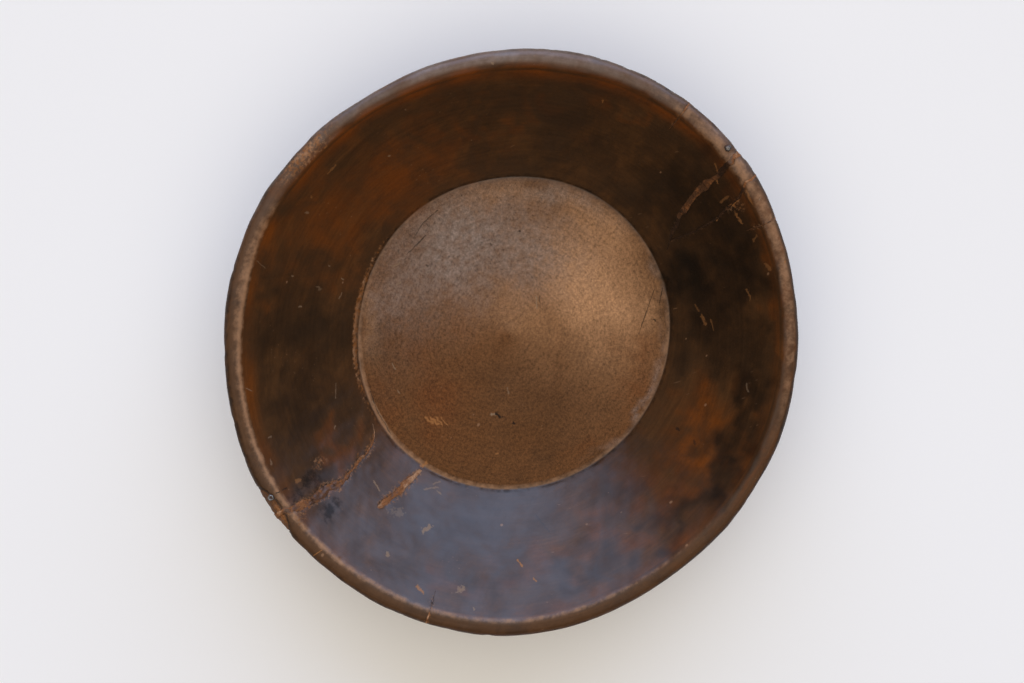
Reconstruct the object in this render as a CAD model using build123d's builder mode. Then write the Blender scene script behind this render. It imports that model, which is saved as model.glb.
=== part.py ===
"""A wide dough bowl turned from one block of wood, split by age and mended by hand.

The origin is the centre of the underside, on the surface that the bowl stands on. +Z points up
out of the mouth, and +X runs along the wood's grain, which is also the bowl's long diameter.
Sizes are in millimetres. Bearings are in degrees from +X, anticlockwise seen from above.
"""

import os
from math import atan2, cos, degrees, radians, sin, tan

from build123d import *

# The bowl as it was turned
rim_radius = 230.0
bowl_height = 104.0
rim_width = 12.0
rim_face_height = 10.0
floor_radius = 131.5
floor_thickness = 19.0
wall_thickness = 12.5
inner_wall_bow = 3.0
outer_wall_bow = 3.0
floor_corner_round = 3.0
rim_inner_round = 2.0
rim_outer_round = 5.5
rim_under_round = 7.0
base_edge_wear = 3.0
base_edge_bulge = 0.6

# Drying drew the round bowl in across the grain, by this share of its width
cross_shrink = 0.039

# A split runs through stations from outside the rim down the wall. Each station gives its share
# of the way from the floor's edge to the rim, its bearing, and its share of the split's width.
left_split_width = 7.0
left_split = [
    (1.05, 157.8, 0.45),
    (0.96, 158.0, 0.45),
    (0.85, 158.7, 0.60),
    (0.80, 159.8, 0.95),
    (0.70, 160.9, 1.00),
    (0.57, 161.4, 0.90),
    (0.47, 162.5, 0.65),
    (0.41, 162.5, 0.45),
    (0.29, 161.8, 0.42),
    (0.15, 160.8, 0.32),
    (0.08, 158.8, 0.22),
    (0.04, 153.1, 0.10),
]
lower_split_width = 4.4
lower_split = [
    (0.45, 174.5, 0.15),
    (0.42, 174.9, 0.75),
    (0.38, 175.3, 1.00),
    (0.22, 177.4, 1.00),
    (0.13, 178.5, 0.80),
    (0.05, 179.4, 0.35),
]
right_split_width = 5.8
right_split = [
    (1.05, -16.8, 0.95),
    (0.97, -16.9, 0.95),
    (0.85, -17.2, 0.70),
    (0.75, -18.1, 0.80),
    (0.67, -18.2, 1.00),
    (0.58, -18.5, 1.00),
    (0.50, -19.4, 1.00),
    (0.42, -20.6, 0.90),
    (0.34, -21.6, 0.55),
    (0.29, -23.4, 0.40),
    (0.21, -25.5, 0.32),
    (0.12, -29.4, 0.14),
]
# The far edge of the wall fragment that the right split broke out, down to where they meet
fragment_seam_width = 1.8
fragment_seam = [
    (1.05, -23.3, 0.78),
    (0.90, -22.3, 0.90),
    (0.80, -24.6, 1.00),
    (0.69, -25.6, 0.90),
    (0.58, -26.8, 0.78),
    (0.40, -27.5, 0.67),
    (0.18, -26.9, 0.56),
]

# Short splits cross only the rim. They share one shape and differ in their bearing.
rim_split_bearings = {"right": -31.9, "top": -3.1, "bottom": -163.3}
rim_split_width = 1.6
rim_split_tip_share = 0.38
rim_split_reach = 26.0
rim_split_overrun = 5.0

# A lens of sound wood let into the outside of the broken rim
patch_bearing = 156.9
patch_length = 46.0
patch_inset = 9.0
patch_depth = 11.0

# Nails driven into the rim, each at a bearing and a distance in from the rim's outside
left_nail_bearing = 154.4
left_nail_inset = 6.2
right_nail_bearing = -14.7
right_nail_inset = 5.4
nail_head_diameter = 5.2
nail_head_height = 1.6
nail_head_taper = 30.0
nail_head_sink = 0.7
nail_shank_diameter = 2.4
nail_tip_diameter = 1.0
nail_length = 19.0

# A wire staple that crosses the left split from outside, with its two tips showing inside
staple_bearing = 161.1
staple_share = 0.75
staple_span = 28.4
staple_wire_diameter = 2.6
staple_bend_radius = 4.0
staple_tip_height = 1.1
staple_tip_bevel = 0.5

# Worked out from the sizes above
oval = 1 - cross_shrink
wall_run = rim_radius - floor_radius
floor_edge = (floor_radius, floor_thickness)
rim_inner_edge = (rim_radius - rim_width, bowl_height)
rim_outer_edge = (rim_radius, bowl_height)
rim_under_edge = (rim_radius, bowl_height - rim_face_height)
wall_slope = atan2(bowl_height - floor_thickness, wall_run - rim_width)
outer_height_at_floor = floor_thickness - wall_thickness * cos(wall_slope)
outer_radius_at_floor = floor_radius + wall_thickness * sin(wall_slope)
base_radius = outer_radius_at_floor - (outer_height_at_floor - base_edge_wear) / tan(wall_slope)
base_flat_radius = base_radius - base_edge_wear
base_edge = (base_radius, base_edge_wear)
section_roundings = [
    (floor_edge, floor_corner_round),
    (rim_inner_edge, rim_inner_round),
    (rim_outer_edge, rim_outer_round),
    (rim_under_edge, rim_under_round),
]
inner_wall = SagittaArc(floor_edge, rim_inner_edge, -inner_wall_bow)
outer_wall = SagittaArc(base_edge, rim_under_edge, -outer_wall_bow)
wall_lean = degrees(atan2(rim_radius - base_radius, bowl_height))
nail_lean = wall_lean / 2
nail_seat_height = bowl_height - nail_head_sink
patch_half_turn = degrees(atan2(patch_length / 2, rim_radius))
nail_places = [(left_nail_bearing, left_nail_inset), (right_nail_bearing, right_nail_inset)]


def plan_point(radius: float, bearing: float) -> Vector:
    """A point seen from above, drawn in across the grain as the bowl is."""
    return Vector(radius * cos(radians(bearing)), oval * radius * sin(radians(bearing)))


def station_points(stations: list) -> list:
    """The centre line of a split, seen from above."""
    return [plan_point(floor_radius + share * wall_run, bearing) for share, bearing, _ in stations]


def split_outline(stations: list, split_width: float) -> list:
    """The outline of a split: half its width to each side of the centre line, square to it."""
    points = station_points(stations)
    near_side = []
    far_side = []
    for place, (_, _, width_share) in enumerate(stations):
        before = points[max(place - 1, 0)]
        after = points[min(place + 1, len(points) - 1)]
        across = (after - before).normalized().rotate(Axis.Z, 90) * (split_width * width_share / 2)
        near_side.append(points[place] + across)
        far_side.append(points[place] - across)
    return near_side + far_side[::-1]


def rim_split(bearing: float) -> list:
    """Stations of a short split that tapers inwards from the rim."""
    return [
        (1 + rim_split_overrun / wall_run, bearing, 1),
        (1, bearing, 1),
        (1 - rim_split_reach / wall_run, bearing, rim_split_tip_share),
    ]


def upright_cut(outline: list) -> Part:
    """A cutter with upright sides over the whole height of the bowl."""
    with BuildPart() as cutter:
        with BuildSketch():
            with BuildLine():
                Polyline(*outline, close=True)
            make_face()
        extrude(amount=bowl_height)
    return cutter.part


def save(piece: BuildPart, name: str) -> None:
    """Names a finished piece and writes its file."""
    piece.part.label = name
    export_step(piece.part, f"parts/{name}.step")


os.makedirs("parts", exist_ok=True)

# The whole bowl before it split: a turned section, drawn in across the grain, then cut flat below
with BuildPart() as whole_bowl:
    with BuildSketch(Plane.XZ) as section:
        with BuildLine():
            Line((0, -base_edge_wear), (0, floor_thickness))
            Line((0, floor_thickness), floor_edge)
            add(inner_wall)
            Line(rim_inner_edge, rim_outer_edge)
            Line(rim_outer_edge, rim_under_edge)
            add(outer_wall)
            SagittaArc(base_edge, (base_flat_radius, 0), base_edge_bulge)
            Line((base_flat_radius, 0), (base_flat_radius, -base_edge_wear))
            Line((base_flat_radius, -base_edge_wear), (0, -base_edge_wear))
        make_face()
        for corner, rounding in section_roundings:
            fillet(section.vertices().sort_by_distance(corner)[0], radius=rounding)
    revolve(axis=Axis.Z)
    scale(by=(1, oval, 1))
    split(bisect_by=Plane.XY, keep=Keep.TOP)

# The openings that the splits left in the wall
left_gap = upright_cut(split_outline(left_split, left_split_width))
lower_gap = upright_cut(split_outline(lower_split, lower_split_width))
right_gap = upright_cut(split_outline(right_split, right_split_width))
seam_gap = upright_cut(split_outline(fragment_seam, fragment_seam_width))
fragment_gap = upright_cut(station_points(right_split) + station_points(fragment_seam)[::-1])
rim_gaps = {
    rim_side: upright_cut(split_outline(rim_split(bearing), rim_split_width))
    for rim_side, bearing in rim_split_bearings.items()
}

# The notch for the rim patch: a lens seen from above, down to a level seat
with BuildPart() as patch_notch:
    patch_start = plan_point(rim_radius, patch_bearing - patch_half_turn)
    patch_end = plan_point(rim_radius, patch_bearing + patch_half_turn)
    with BuildSketch(Plane.XY.offset(bowl_height - patch_depth)):
        with BuildLine():
            ThreePointArc(patch_start, plan_point(rim_radius - patch_inset, patch_bearing), patch_end)
            Polyline(patch_end, plan_point(rim_radius + patch_inset, patch_bearing), patch_start)
        make_face()
    extrude(amount=patch_depth)

# Hand-made nails: a low head on the rim, and a tapered shank that leans in along the wall
with BuildPart() as rim_nails:
    for nail_bearing, nail_inset in nail_places:
        head_seat = plan_point(rim_radius - nail_inset, nail_bearing) + Vector(0, 0, nail_seat_height)
        shank_way = plan_point(-sin(radians(nail_lean)), nail_bearing) - Vector(0, 0, cos(radians(nail_lean)))
        with BuildSketch(Plane(origin=head_seat)):
            Circle(nail_head_diameter / 2)
        extrude(amount=nail_head_height, taper=nail_head_taper)
        with BuildSketch(Plane(origin=head_seat, z_dir=shank_way)):
            Circle(nail_shank_diameter / 2)
        with BuildSketch(Plane(origin=head_seat + shank_way * nail_length, z_dir=shank_way)):
            Circle(nail_tip_diameter / 2)
        loft()
save(rim_nails, "rim_nails")

# The staple: its crown lies half sunk in the outside of the wall, square to the split, and its
# legs pass through the wall and stand a little proud inside
with BuildPart() as crack_staple:
    inside_point = inner_wall @ staple_share
    inside_slope = inner_wall % staple_share
    wall_here = outer_wall.distance_to(inside_point)
    staple_origin = plan_point(inside_point.X, staple_bearing) + Vector(0, 0, inside_point.Y)
    inward = plan_point(-inside_slope.Y, staple_bearing) + Vector(0, 0, inside_slope.X)
    sideways = plan_point(1, staple_bearing + 90)
    with BuildLine(Plane(origin=staple_origin, x_dir=sideways, z_dir=sideways.cross(inward))) as staple_line:
        FilletPolyline(
            (-staple_span / 2, staple_tip_height),
            (-staple_span / 2, -wall_here),
            (staple_span / 2, -wall_here),
            (staple_span / 2, staple_tip_height),
            radius=staple_bend_radius,
        )
    with BuildSketch(Plane(origin=staple_line.line @ 0, z_dir=staple_line.line % 0)):
        Circle(staple_wire_diameter / 2)
    sweep()
    tip_faces = [crack_staple.faces().sort_by_distance(staple_line.line @ end)[0] for end in (0, 1)]
    chamfer([edge for face in tip_faces for edge in face.edges()], length=staple_tip_bevel)
save(crack_staple, "crack_staple")

# The patch on the rim, pinned by one of the nails
with BuildPart() as rim_patch:
    add(whole_bowl.part)
    add(patch_notch.part, mode=Mode.INTERSECT)
    add(rim_nails.part, mode=Mode.SUBTRACT)
save(rim_patch, "rim_patch")

# The long splinter of wall and rim that broke out on the right and was glued back
with BuildPart() as rim_fragment:
    add(whole_bowl.part)
    add(fragment_gap, mode=Mode.INTERSECT)
    add([right_gap, seam_gap, rim_nails.part], mode=Mode.SUBTRACT)
save(rim_fragment, "rim_fragment")

# Filler in each split, flush with the wood on both sides
with BuildPart() as crack_fill_left:
    add(whole_bowl.part)
    add(left_gap, mode=Mode.INTERSECT)
    add([patch_notch.part, crack_staple.part], mode=Mode.SUBTRACT)
save(crack_fill_left, "crack_fill_left")

with BuildPart() as crack_fill_lower:
    add(whole_bowl.part)
    add(lower_gap, mode=Mode.INTERSECT)
save(crack_fill_lower, "crack_fill_lower")

with BuildPart() as crack_fill_right:
    add(whole_bowl.part)
    add(right_gap, mode=Mode.INTERSECT)
    add(rim_nails.part, mode=Mode.SUBTRACT)
save(crack_fill_right, "crack_fill_right")

with BuildPart() as fragment_seam_fill:
    add(whole_bowl.part)
    add(seam_gap, mode=Mode.INTERSECT)
    add(right_gap, mode=Mode.SUBTRACT)
save(fragment_seam_fill, "fragment_seam_fill")

for rim_side, rim_gap in rim_gaps.items():
    with BuildPart() as rim_split_fill:
        add(whole_bowl.part)
        add(rim_gap, mode=Mode.INTERSECT)
    save(rim_split_fill, f"rim_split_fill_{rim_side}")

# The bowl itself, with every split, notch and hole cut out of it
with BuildPart() as bowl_body:
    add(whole_bowl.part)
    add([left_gap, lower_gap, right_gap, seam_gap, fragment_gap, *rim_gaps.values()], mode=Mode.SUBTRACT)
    add([patch_notch.part, rim_nails.part, crack_staple.part], mode=Mode.SUBTRACT)
save(bowl_body, "bowl_body")
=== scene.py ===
"""The looks of a mended wooden dough bowl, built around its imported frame.

Lengths are in metres. Bearings are in degrees from +X, anticlockwise seen from above. +Z points up
out of the mouth and +X runs along the grain. A place on the inside of the bowl is a bearing and a
radius in millimetres, both seen from above.
"""

import logging
from collections.abc import Callable
from dataclasses import dataclass
from enum import Enum, IntEnum

import bmesh
import bpy
import numpy as np
from mathutils import Matrix, Vector


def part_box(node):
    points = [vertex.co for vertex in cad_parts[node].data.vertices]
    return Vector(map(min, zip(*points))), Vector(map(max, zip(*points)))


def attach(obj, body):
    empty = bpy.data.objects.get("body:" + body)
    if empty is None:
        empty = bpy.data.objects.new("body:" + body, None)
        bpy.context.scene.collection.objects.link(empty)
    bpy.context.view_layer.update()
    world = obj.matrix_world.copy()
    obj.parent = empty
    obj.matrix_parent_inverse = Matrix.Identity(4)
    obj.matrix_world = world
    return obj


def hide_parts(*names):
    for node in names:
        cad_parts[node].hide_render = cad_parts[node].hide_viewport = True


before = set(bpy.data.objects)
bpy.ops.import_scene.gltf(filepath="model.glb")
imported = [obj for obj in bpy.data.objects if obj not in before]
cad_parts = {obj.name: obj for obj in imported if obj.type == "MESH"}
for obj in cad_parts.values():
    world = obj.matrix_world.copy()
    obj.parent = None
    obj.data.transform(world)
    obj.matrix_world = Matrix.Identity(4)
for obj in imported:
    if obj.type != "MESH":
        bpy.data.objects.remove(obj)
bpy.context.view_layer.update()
log = logging.getLogger("dough_bowl")

MM = 0.001
FULL_TURN = 360.0
UP = np.array([0.0, 0.0, 1.0])
BODY = "root"
# How many plane waves make a random field
WAVE_COUNT = 24
# A sound stretch of rim, where no split lies
SEAM_BEARING = 100.0
# The turn, in degrees, between two edges that all but meet
HAIR = 0.03
# The angle between faces, in degrees, past which their edge stays sharp
CREASE = 50.0

Array = np.ndarray
Piece = bpy.types.Object
Material = bpy.types.Material
Tree = bpy.types.NodeTree
Outputs = bpy.types.NodeOutputs
Socket = bpy.types.NodeSocket
Colour = tuple[float, float, float]
Place = tuple[float, float]
Rows = tuple[tuple[float, ...], ...]
Pair = tuple[Array, Array]


class Zone(IntEnum):
    """The parts of the turned section, in the order of its rows."""

    FLOOR = 0
    WALL = 1
    RIM = 2
    OUTSIDE = 3
    BASE = 4


class Tint(Enum):
    """What a small mark in the wood looks like."""

    PALE = "pale"
    ORANGE = "orange"
    DARK = "dark"


class Slot(Enum):
    """The record's material slots."""

    AGED_WOOD = "aged_wood"
    PATCH_WOOD = "patch_wood"
    SPLIT_FILLER = "split_filler"
    FORGED_IRON = "forged_iron"


def smooth_step(low: float, high: float, value: Array) -> Array:
    """Rises from 0 at low to 1 at high, as three t squared less two t cubed."""
    t = np.clip((value - low) / (high - low), 0, 1)
    return t * t * (3 - 2 * t)


def hump(value: Array, width: float) -> Array:
    """A bell of height 1: e to the minus square of value over width."""
    return np.exp(-((value / width) ** 2))


def unit(way: Array) -> Array:
    """A way, or each of several, over its length."""
    return way / np.linalg.norm(way, axis=-1, keepdims=True)


def turn_to(bearing: Array, other: float) -> Array:
    """The turn from another bearing to this one, wrapped to half a turn each way."""
    return (bearing - other + FULL_TURN / 2) % FULL_TURN - FULL_TURN / 2


def unwrapped(bearing: Array) -> Array:
    """Bearings as they run once round from the sound stretch of rim."""
    return (bearing - SEAM_BEARING) % FULL_TURN + SEAM_BEARING - FULL_TURN


def level_way(bearing: float) -> Array:
    """The level unit way at a bearing."""
    return np.array([np.cos(np.radians(bearing)), np.sin(np.radians(bearing)), 0.0])


def waves(points: Array, wavelength: float, seed: int) -> Array:
    """A smooth random field of unit spread: the sum of cosines of plane waves in random directions.

    Args:
        points: The places.
        wavelength: The usual distance between crests.
        seed: Which field of that kind.

    Returns:
        The field at each point.
    """
    rng = np.random.default_rng(seed)
    way = unit(rng.normal(size=(WAVE_COUNT, 3)))
    length = wavelength * rng.uniform(0.7, 1.4, (WAVE_COUNT, 1))
    phase = rng.uniform(0, 2 * np.pi, WAVE_COUNT)
    return np.cos(points @ (2 * np.pi * way / length).T + phase).sum(-1) / np.sqrt(WAVE_COUNT / 2)


def ruffle(points: Array, layers: Rows) -> Array:
    """The sum of several random fields, each given by its size, wavelength and seed."""
    return sum(size * waves(points, wavelength, seed) for size, wavelength, seed in layers)


def along_line(distance: Array, wavelength: float, seed: int) -> Array:
    """The random field of waves, read along a straight line."""
    return waves(distance[..., None] * np.array([1.0, 0.0, 0.0]), wavelength, seed)


def bowed_line(start: Array, end: Array, bow: float, t: Array) -> Array:
    """Points from start to end, pushed to the right of the way by four bow t (1 - t)."""
    side = unit(np.array([end[1] - start[1], start[0] - end[0]]))
    return start + t[:, None] * (end - start) + (4 * bow * t * (1 - t))[:, None] * side


def rounded(before: Array, corner: Array, after: Array, radius: float, count: int) -> Array:
    """The arc that rounds a corner: a circle tangent to both lines, swept evenly between them.

    Args:
        before: A point on the line that comes to the corner.
        corner: The sharp corner.
        after: A point on the line that leaves it.
        radius: The arc's radius.
        count: How many points it gets.

    Returns:
        The arc's points in order.
    """
    back, ahead = unit(before - corner), unit(after - corner)
    half = np.arccos(np.clip(back @ ahead, -1, 1)) / 2
    centre = corner + unit(back + ahead) * radius / np.sin(half)
    first = (corner + back * radius / np.tan(half) - centre) / radius
    final = (corner + ahead * radius / np.tan(half) - centre) / radius
    sweep = np.arccos(np.clip(first @ final, -1, 1))
    t = np.linspace(0, 1, count)[:, None]
    return centre + radius * (np.sin((1 - t) * sweep) * first + np.sin(t * sweep) * final) / np.sin(sweep)


def numbered(points: Array, start: int = 0) -> Array:
    """The vertex number of each point of a grid, counted along its rows."""
    return start + np.arange(points[..., 0].size).reshape(points.shape[:-1])


def grid_quads(index: Array, closed: bool = False) -> Array:
    """The quads between neighbouring rows and columns of a grid of vertex numbers.

    Args:
        index: The vertex number at each row and column.
        closed: Whether the last column joins the first.

    Returns:
        One quad a row.
    """
    beside = np.roll(index, -1, axis=1) if closed else index[:, 1:]
    here = index if closed else index[:, :-1]
    return np.stack([here[:-1], beside[:-1], beside[1:], here[1:]], axis=-1).reshape(-1, 4)


def end_fans(index: Array) -> Array:
    """The triangles from a grid's first and last rows, which are closed rings, to two hubs.

    Args:
        index: The vertex number at each row and column.

    Returns:
        The triangles, to the two vertices that are numbered after the grid.
    """
    hub = index[-1, -1] + 1
    ends = ((index[0], hub), (index[-1], hub + 1))
    fans = [np.stack([ring, np.roll(ring, -1), np.full_like(ring, tip)], -1) for ring, tip in ends]
    return np.concatenate(fans)


def closed_rings(rings: Array, hubs: Array, start: int = 0) -> tuple[Array, list[Array]]:
    """Closes a stack of rings by a fan to a hub at each end.

    Args:
        rings: Points by ring and by turn.
        hubs: The hub before the first ring and the one after the last.
        start: The number of the first vertex.

    Returns:
        All points, with the hubs last, and the faces.
    """
    index = numbered(rings, start)
    return np.concatenate([rings.reshape(-1, 3), hubs]), [grid_quads(index, closed=True), end_fans(index)]


def add_object(name: str, data: bpy.types.ID) -> Piece:
    """Puts a mesh or a camera into the scene.

    Args:
        name: The object's name.
        data: What it shows.

    Returns:
        The new object, at the origin.
    """
    made = bpy.data.objects.new(name, data)
    bpy.context.scene.collection.objects.link(made)
    return made


def make_piece(name: str, points: Array, faces: list[Array], fields: dict[str, Array]) -> Piece:
    """Makes a smooth closed mesh with its faces turned outwards.

    Args:
        name: The piece's name.
        points: Its vertices.
        faces: Arrays of vertex numbers, one face a row, each array with faces of one size.
        fields: One or four numbers for each vertex, by name, for its finish to read.

    Returns:
        The new object, at the origin.
    """
    corners = np.concatenate([part.ravel() for part in faces])
    sizes = np.concatenate([np.full(len(part), part.shape[1]) for part in faces])
    mesh = bpy.data.meshes.new(name)
    mesh.vertices.add(len(points))
    mesh.vertices.foreach_set("co", np.ascontiguousarray(points, dtype=np.float32).ravel())
    mesh.loops.add(len(corners))
    mesh.loops.foreach_set("vertex_index", corners.astype(np.int32))
    mesh.polygons.add(len(sizes))
    mesh.polygons.foreach_set("loop_start", (np.cumsum(sizes) - sizes).astype(np.int32))
    mesh.update(calc_edges=True)
    shell = bmesh.new()
    shell.from_mesh(mesh)
    bmesh.ops.recalc_face_normals(shell, faces=shell.faces)
    shell.to_mesh(mesh)
    shell.free()
    mesh.shade_smooth()
    mesh.set_sharp_from_angle(angle=np.radians(CREASE))
    for field, values in fields.items():
        kind, key = ("FLOAT_COLOR", "color") if values.size == 4 * len(points) else ("FLOAT", "value")
        layer = mesh.attributes.new(field, kind, "POINT")
        layer.data.foreach_set(key, np.ascontiguousarray(values, dtype=np.float32).ravel())
    return add_object(name, mesh)


def seat(piece: Piece, node: str, slot: Slot, finish: Material) -> None:
    """Puts a finished piece in the place of its node.

    Args:
        piece: The new piece.
        node: The frame's node that it stands for.
        slot: The record's slot that it takes its finish from.
        finish: Its material.
    """
    piece.data.materials.append(finish)
    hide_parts(node)
    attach(piece, BODY)
    log.info("%s: %d faces in %s", piece.name, len(piece.data.polygons), slot.value)


@dataclass(frozen=True)
class Section:
    """The turned section as rows, from the floor's middle over the rim to the base's middle.

    A row's share is how far it lies from the floor's edge (0) to the rim (1), seen from above. Rows
    outside have the share of the inside row that they face.
    """

    radius: Array
    height: Array
    out_radial: Array
    out_up: Array
    zone: Array
    share: Array
    first: int
    last: int

    def facing(self, row: Array | int) -> Array | int:
        """The outside row that faces an inside row of the wall, and the other way round."""
        return self.first + self.last - row

    @property
    def middle(self) -> int:
        """The last row of the inner half of the wall and rim."""
        return (self.first + self.last) // 2

    @property
    def run(self) -> Array:
        """The way along the section to each row."""
        return np.concatenate([[0.0], np.cumsum(np.hypot(np.diff(self.radius), np.diff(self.height)))])


@dataclass(frozen=True)
class BowlForm:
    """The bowl as it was turned and as it has dried."""

    rim_radius: float
    height: float
    oval: float
    rim_width: float = 12.0 * MM
    rim_face_height: float = 10.0 * MM
    floor_radius: float = 131.5 * MM
    floor_thickness: float = 19.0 * MM
    wall_thickness: float = 12.5 * MM
    wall_bow: float = 3.0 * MM
    floor_corner_round: float = 3.0 * MM
    rim_inner_round: float = 9.0 * MM
    rim_outer_round: float = 7.0 * MM
    rim_under_round: float = 7.0 * MM
    base_edge_wear: float = 3.0 * MM
    base_edge_bulge: float = 0.6 * MM
    floor_rows: int = 38
    corner_rows: int = 5
    wall_rows: int = 50
    round_rows: int = 9
    under_rows: int = 6
    edge_rows: int = 4
    base_rows: int = 6
    hub_radius: float = 2.5 * MM
    # The rim has warped: waves per turn, share of the radius, bearing of a crest
    rim_warp: Rows = (
        (2, 0.0042, 40.5), (3, 0.0055, -15.4), (4, 0.0031, -76.3), (5, 0.0028, -70.9), (6, 0.0026, -85.8),
    )
    # The floor's edge has warped the other way
    floor_warp: Rows = ((2, 0.0080, -57.0),)
    # Flats knocked into the rim, and stretches where the floor's edge has worn in: bearing, half
    # width in degrees, depth
    rim_flats: Rows = ((-16.5, 1.6, 0.9 * MM), (84.0, 4.5, 1.3 * MM), (162.0, 2.0, 0.4 * MM))
    floor_flats: Rows = ((118.0, 38.0, 5.0 * MM), (38.0, 30.0, 2.0 * MM))

    @classmethod
    def from_frame(cls) -> "BowlForm":
        """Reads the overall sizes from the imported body's box.

        Returns:
            The bowl.
        """
        low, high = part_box("bowl_body")
        size = high - low
        return cls(rim_radius=size.x / 2, height=high.z, oval=size.y / size.x)

    @property
    def wall_run(self) -> float:
        """How far the wall and rim reach out from the floor's edge, seen from above."""
        return self.rim_radius - self.floor_radius

    def corners(self) -> dict[str, Array]:
        """Works out the sharp corners of the section.

        Returns:
            Radius and height of each, by name.
        """
        floor_edge = np.array([self.floor_radius, self.floor_thickness])
        rim_inner = np.array([self.rim_radius - self.rim_width, self.height])
        run, rise = rim_inner - floor_edge
        slope = np.arctan2(rise, run)
        below = self.floor_thickness - self.wall_thickness * np.cos(slope)
        beside = self.floor_radius + self.wall_thickness * np.sin(slope)
        base_radius = beside - (below - self.base_edge_wear) / np.tan(slope)
        return {
            "floor_edge": floor_edge,
            "rim_inner": rim_inner,
            "rim_outer": np.array([self.rim_radius, self.height]),
            "rim_under": np.array([self.rim_radius, self.height - self.rim_face_height]),
            "base_edge": np.array([base_radius, self.base_edge_wear]),
            "base_flat": np.array([base_radius - self.base_edge_wear, 0.0]),
        }

    def section(self) -> Section:
        """Lays out the rows of the section.

        Straight runs and shallow bows between the corners are joined by tangent arcs. The normal at
        a row is square to the line between its neighbours, on the side away from the wood.

        Returns:
            The rows, with as many inside the wall as outside it.
        """
        at = self.corners()
        wall_t = np.linspace(0, 1, self.wall_rows + 2)[1:-1]
        wall = at["rim_inner"] - at["floor_edge"]
        rounding = self.rim_inner_round * np.tan(np.arctan2(wall[1], wall[0]) / 2) / np.linalg.norm(wall)
        inside = bowed_line(at["floor_edge"], at["rim_inner"], self.wall_bow, (1 - rounding) * wall_t)
        outside = bowed_line(at["base_edge"], at["rim_under"], self.wall_bow, wall_t)[::-1]
        hub = np.array([self.hub_radius, self.floor_thickness])
        corner = rounded(hub, at["floor_edge"], inside[0], self.floor_corner_round, self.corner_rows)
        floor = hub + np.linspace(0, 1, self.floor_rows + 1)[:-1, None] * (corner[0] - hub)
        inner = rounded(inside[-1], at["rim_inner"], at["rim_outer"], self.rim_inner_round, self.round_rows)
        rim = at["rim_inner"], at["rim_outer"], at["rim_under"]
        outer = rounded(*rim, self.rim_outer_round, self.round_rows)
        flat = inner[-1] + np.linspace(0, 1, self.edge_rows)[1:-1, None] * (outer[0] - inner[-1])
        under = rounded(at["rim_outer"], at["rim_under"], outside[0], self.rim_under_round, self.under_rows)
        edge_t = np.linspace(0, 1, self.edge_rows)
        edge = bowed_line(at["base_flat"], at["base_edge"], self.base_edge_bulge, edge_t)[::-1]
        base = edge[-1] * np.linspace(1, 0, self.base_rows + 1)[1:-1, None] + [self.hub_radius / 2, 0]
        parts = [floor, corner, inside, inner, flat, outer, under, outside, edge, base]
        zones = [Zone.FLOOR] * 2 + [Zone.WALL] + [Zone.RIM] * 4 + [Zone.OUTSIDE] + [Zone.BASE] * 2
        path = np.concatenate(parts)
        zone = np.concatenate([np.full(len(part), int(name)) for part, name in zip(parts, zones)])
        ahead = unit(np.gradient(path, axis=0))
        first = len(floor) + len(corner)
        last = first + 2 * self.wall_rows + len(inner) + len(flat) + len(outer) + len(under) - 1
        share = (path[:, 0] - self.floor_radius) / self.wall_run
        half = (first + last) // 2
        share[half + 1 : last + 1] = share[first : half + 1][::-1]
        share[last + 1 :] = share[first] + (path[last + 1 :, 0] - path[last, 0]) / self.wall_run
        return Section(path[:, 0], path[:, 1], -ahead[:, 1], ahead[:, 0], zone, share, first, last)

    def warp(self, radius: Array, bearing: Array) -> Array:
        """How the dried bowl departs from round, as a factor on its radius.

        It is 1 plus a sum of cosines round the rim, which gives way to another sum at the floor's
        edge, less a bell for each flat.

        Args:
            radius: The turned radius of each point.
            bearing: Its bearing.

        Returns:
            The factor at each point.
        """
        rise = np.clip((radius - self.floor_radius) / self.wall_run, 0, 1)
        rim, floor = (
            sum(size * np.cos(np.radians(n * (bearing - crest))) for n, size, crest in rows)
            for rows in (self.rim_warp, self.floor_warp)
        )
        flats, worn = (
            sum(depth * hump(turn_to(bearing, at), width) for at, width, depth in rows)
            for rows in (self.rim_flats, self.floor_flats)
        )
        near_floor = (1 - rise) * np.clip(radius / self.floor_radius, 0, 1) ** 4
        round_rim = rise * rim - rise**3 * flats / self.rim_radius
        return 1 + round_rim + (1 - rise) * floor - near_floor * worn / self.floor_radius

    def spot(self, radius: Array, height: Array, bearing: Array) -> Array:
        """Places points of the bowl: warped, then drawn in across the grain.

        Args:
            radius: The turned radius of each.
            height: Its height.
            bearing: Its bearing.

        Returns:
            The points.
        """
        wide = radius * self.warp(radius, bearing)
        angle = np.radians(bearing)
        x, y = wide * np.cos(angle), self.oval * wide * np.sin(angle)
        return np.stack(np.broadcast_arrays(x, y, height), axis=-1)

    def plan(self, place: Place) -> Array:
        """A place on the inside, seen from above."""
        return self.spot(np.array(place[1] * MM), np.array(0.0), np.array(place[0]))[:2]


@dataclass(frozen=True)
class Skin:
    """Places on the turned surface, for each row and column."""

    form: BowlForm
    radius: Array
    height: Array
    zone: Array
    bearing: Array

    @classmethod
    def of(cls, form: BowlForm, section: Section, rows: Array, bearing: Array) -> "Skin":
        """Reads rows of the section, with one line of bearings for each."""
        parts = (section.radius, section.height, section.zone)
        return cls(form, *(part[rows][:, None] for part in parts), bearing)

    def points(self) -> Array:
        """The places themselves."""
        return self.form.spot(self.radius, self.height, self.bearing)

    def past_floor(self) -> Array:
        """How far out from the floor's edge."""
        return self.radius - self.form.floor_radius

    def past_rim(self) -> Array:
        """How far out from the rim's inner edge."""
        return self.radius - self.form.rim_radius + self.form.rim_width

    def near_top(self, low: float, high: float) -> Array:
        """Rises from 0 to 1 between two depths below the rim's top."""
        return smooth_step(self.form.height - low, self.form.height - high, self.height)


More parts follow.
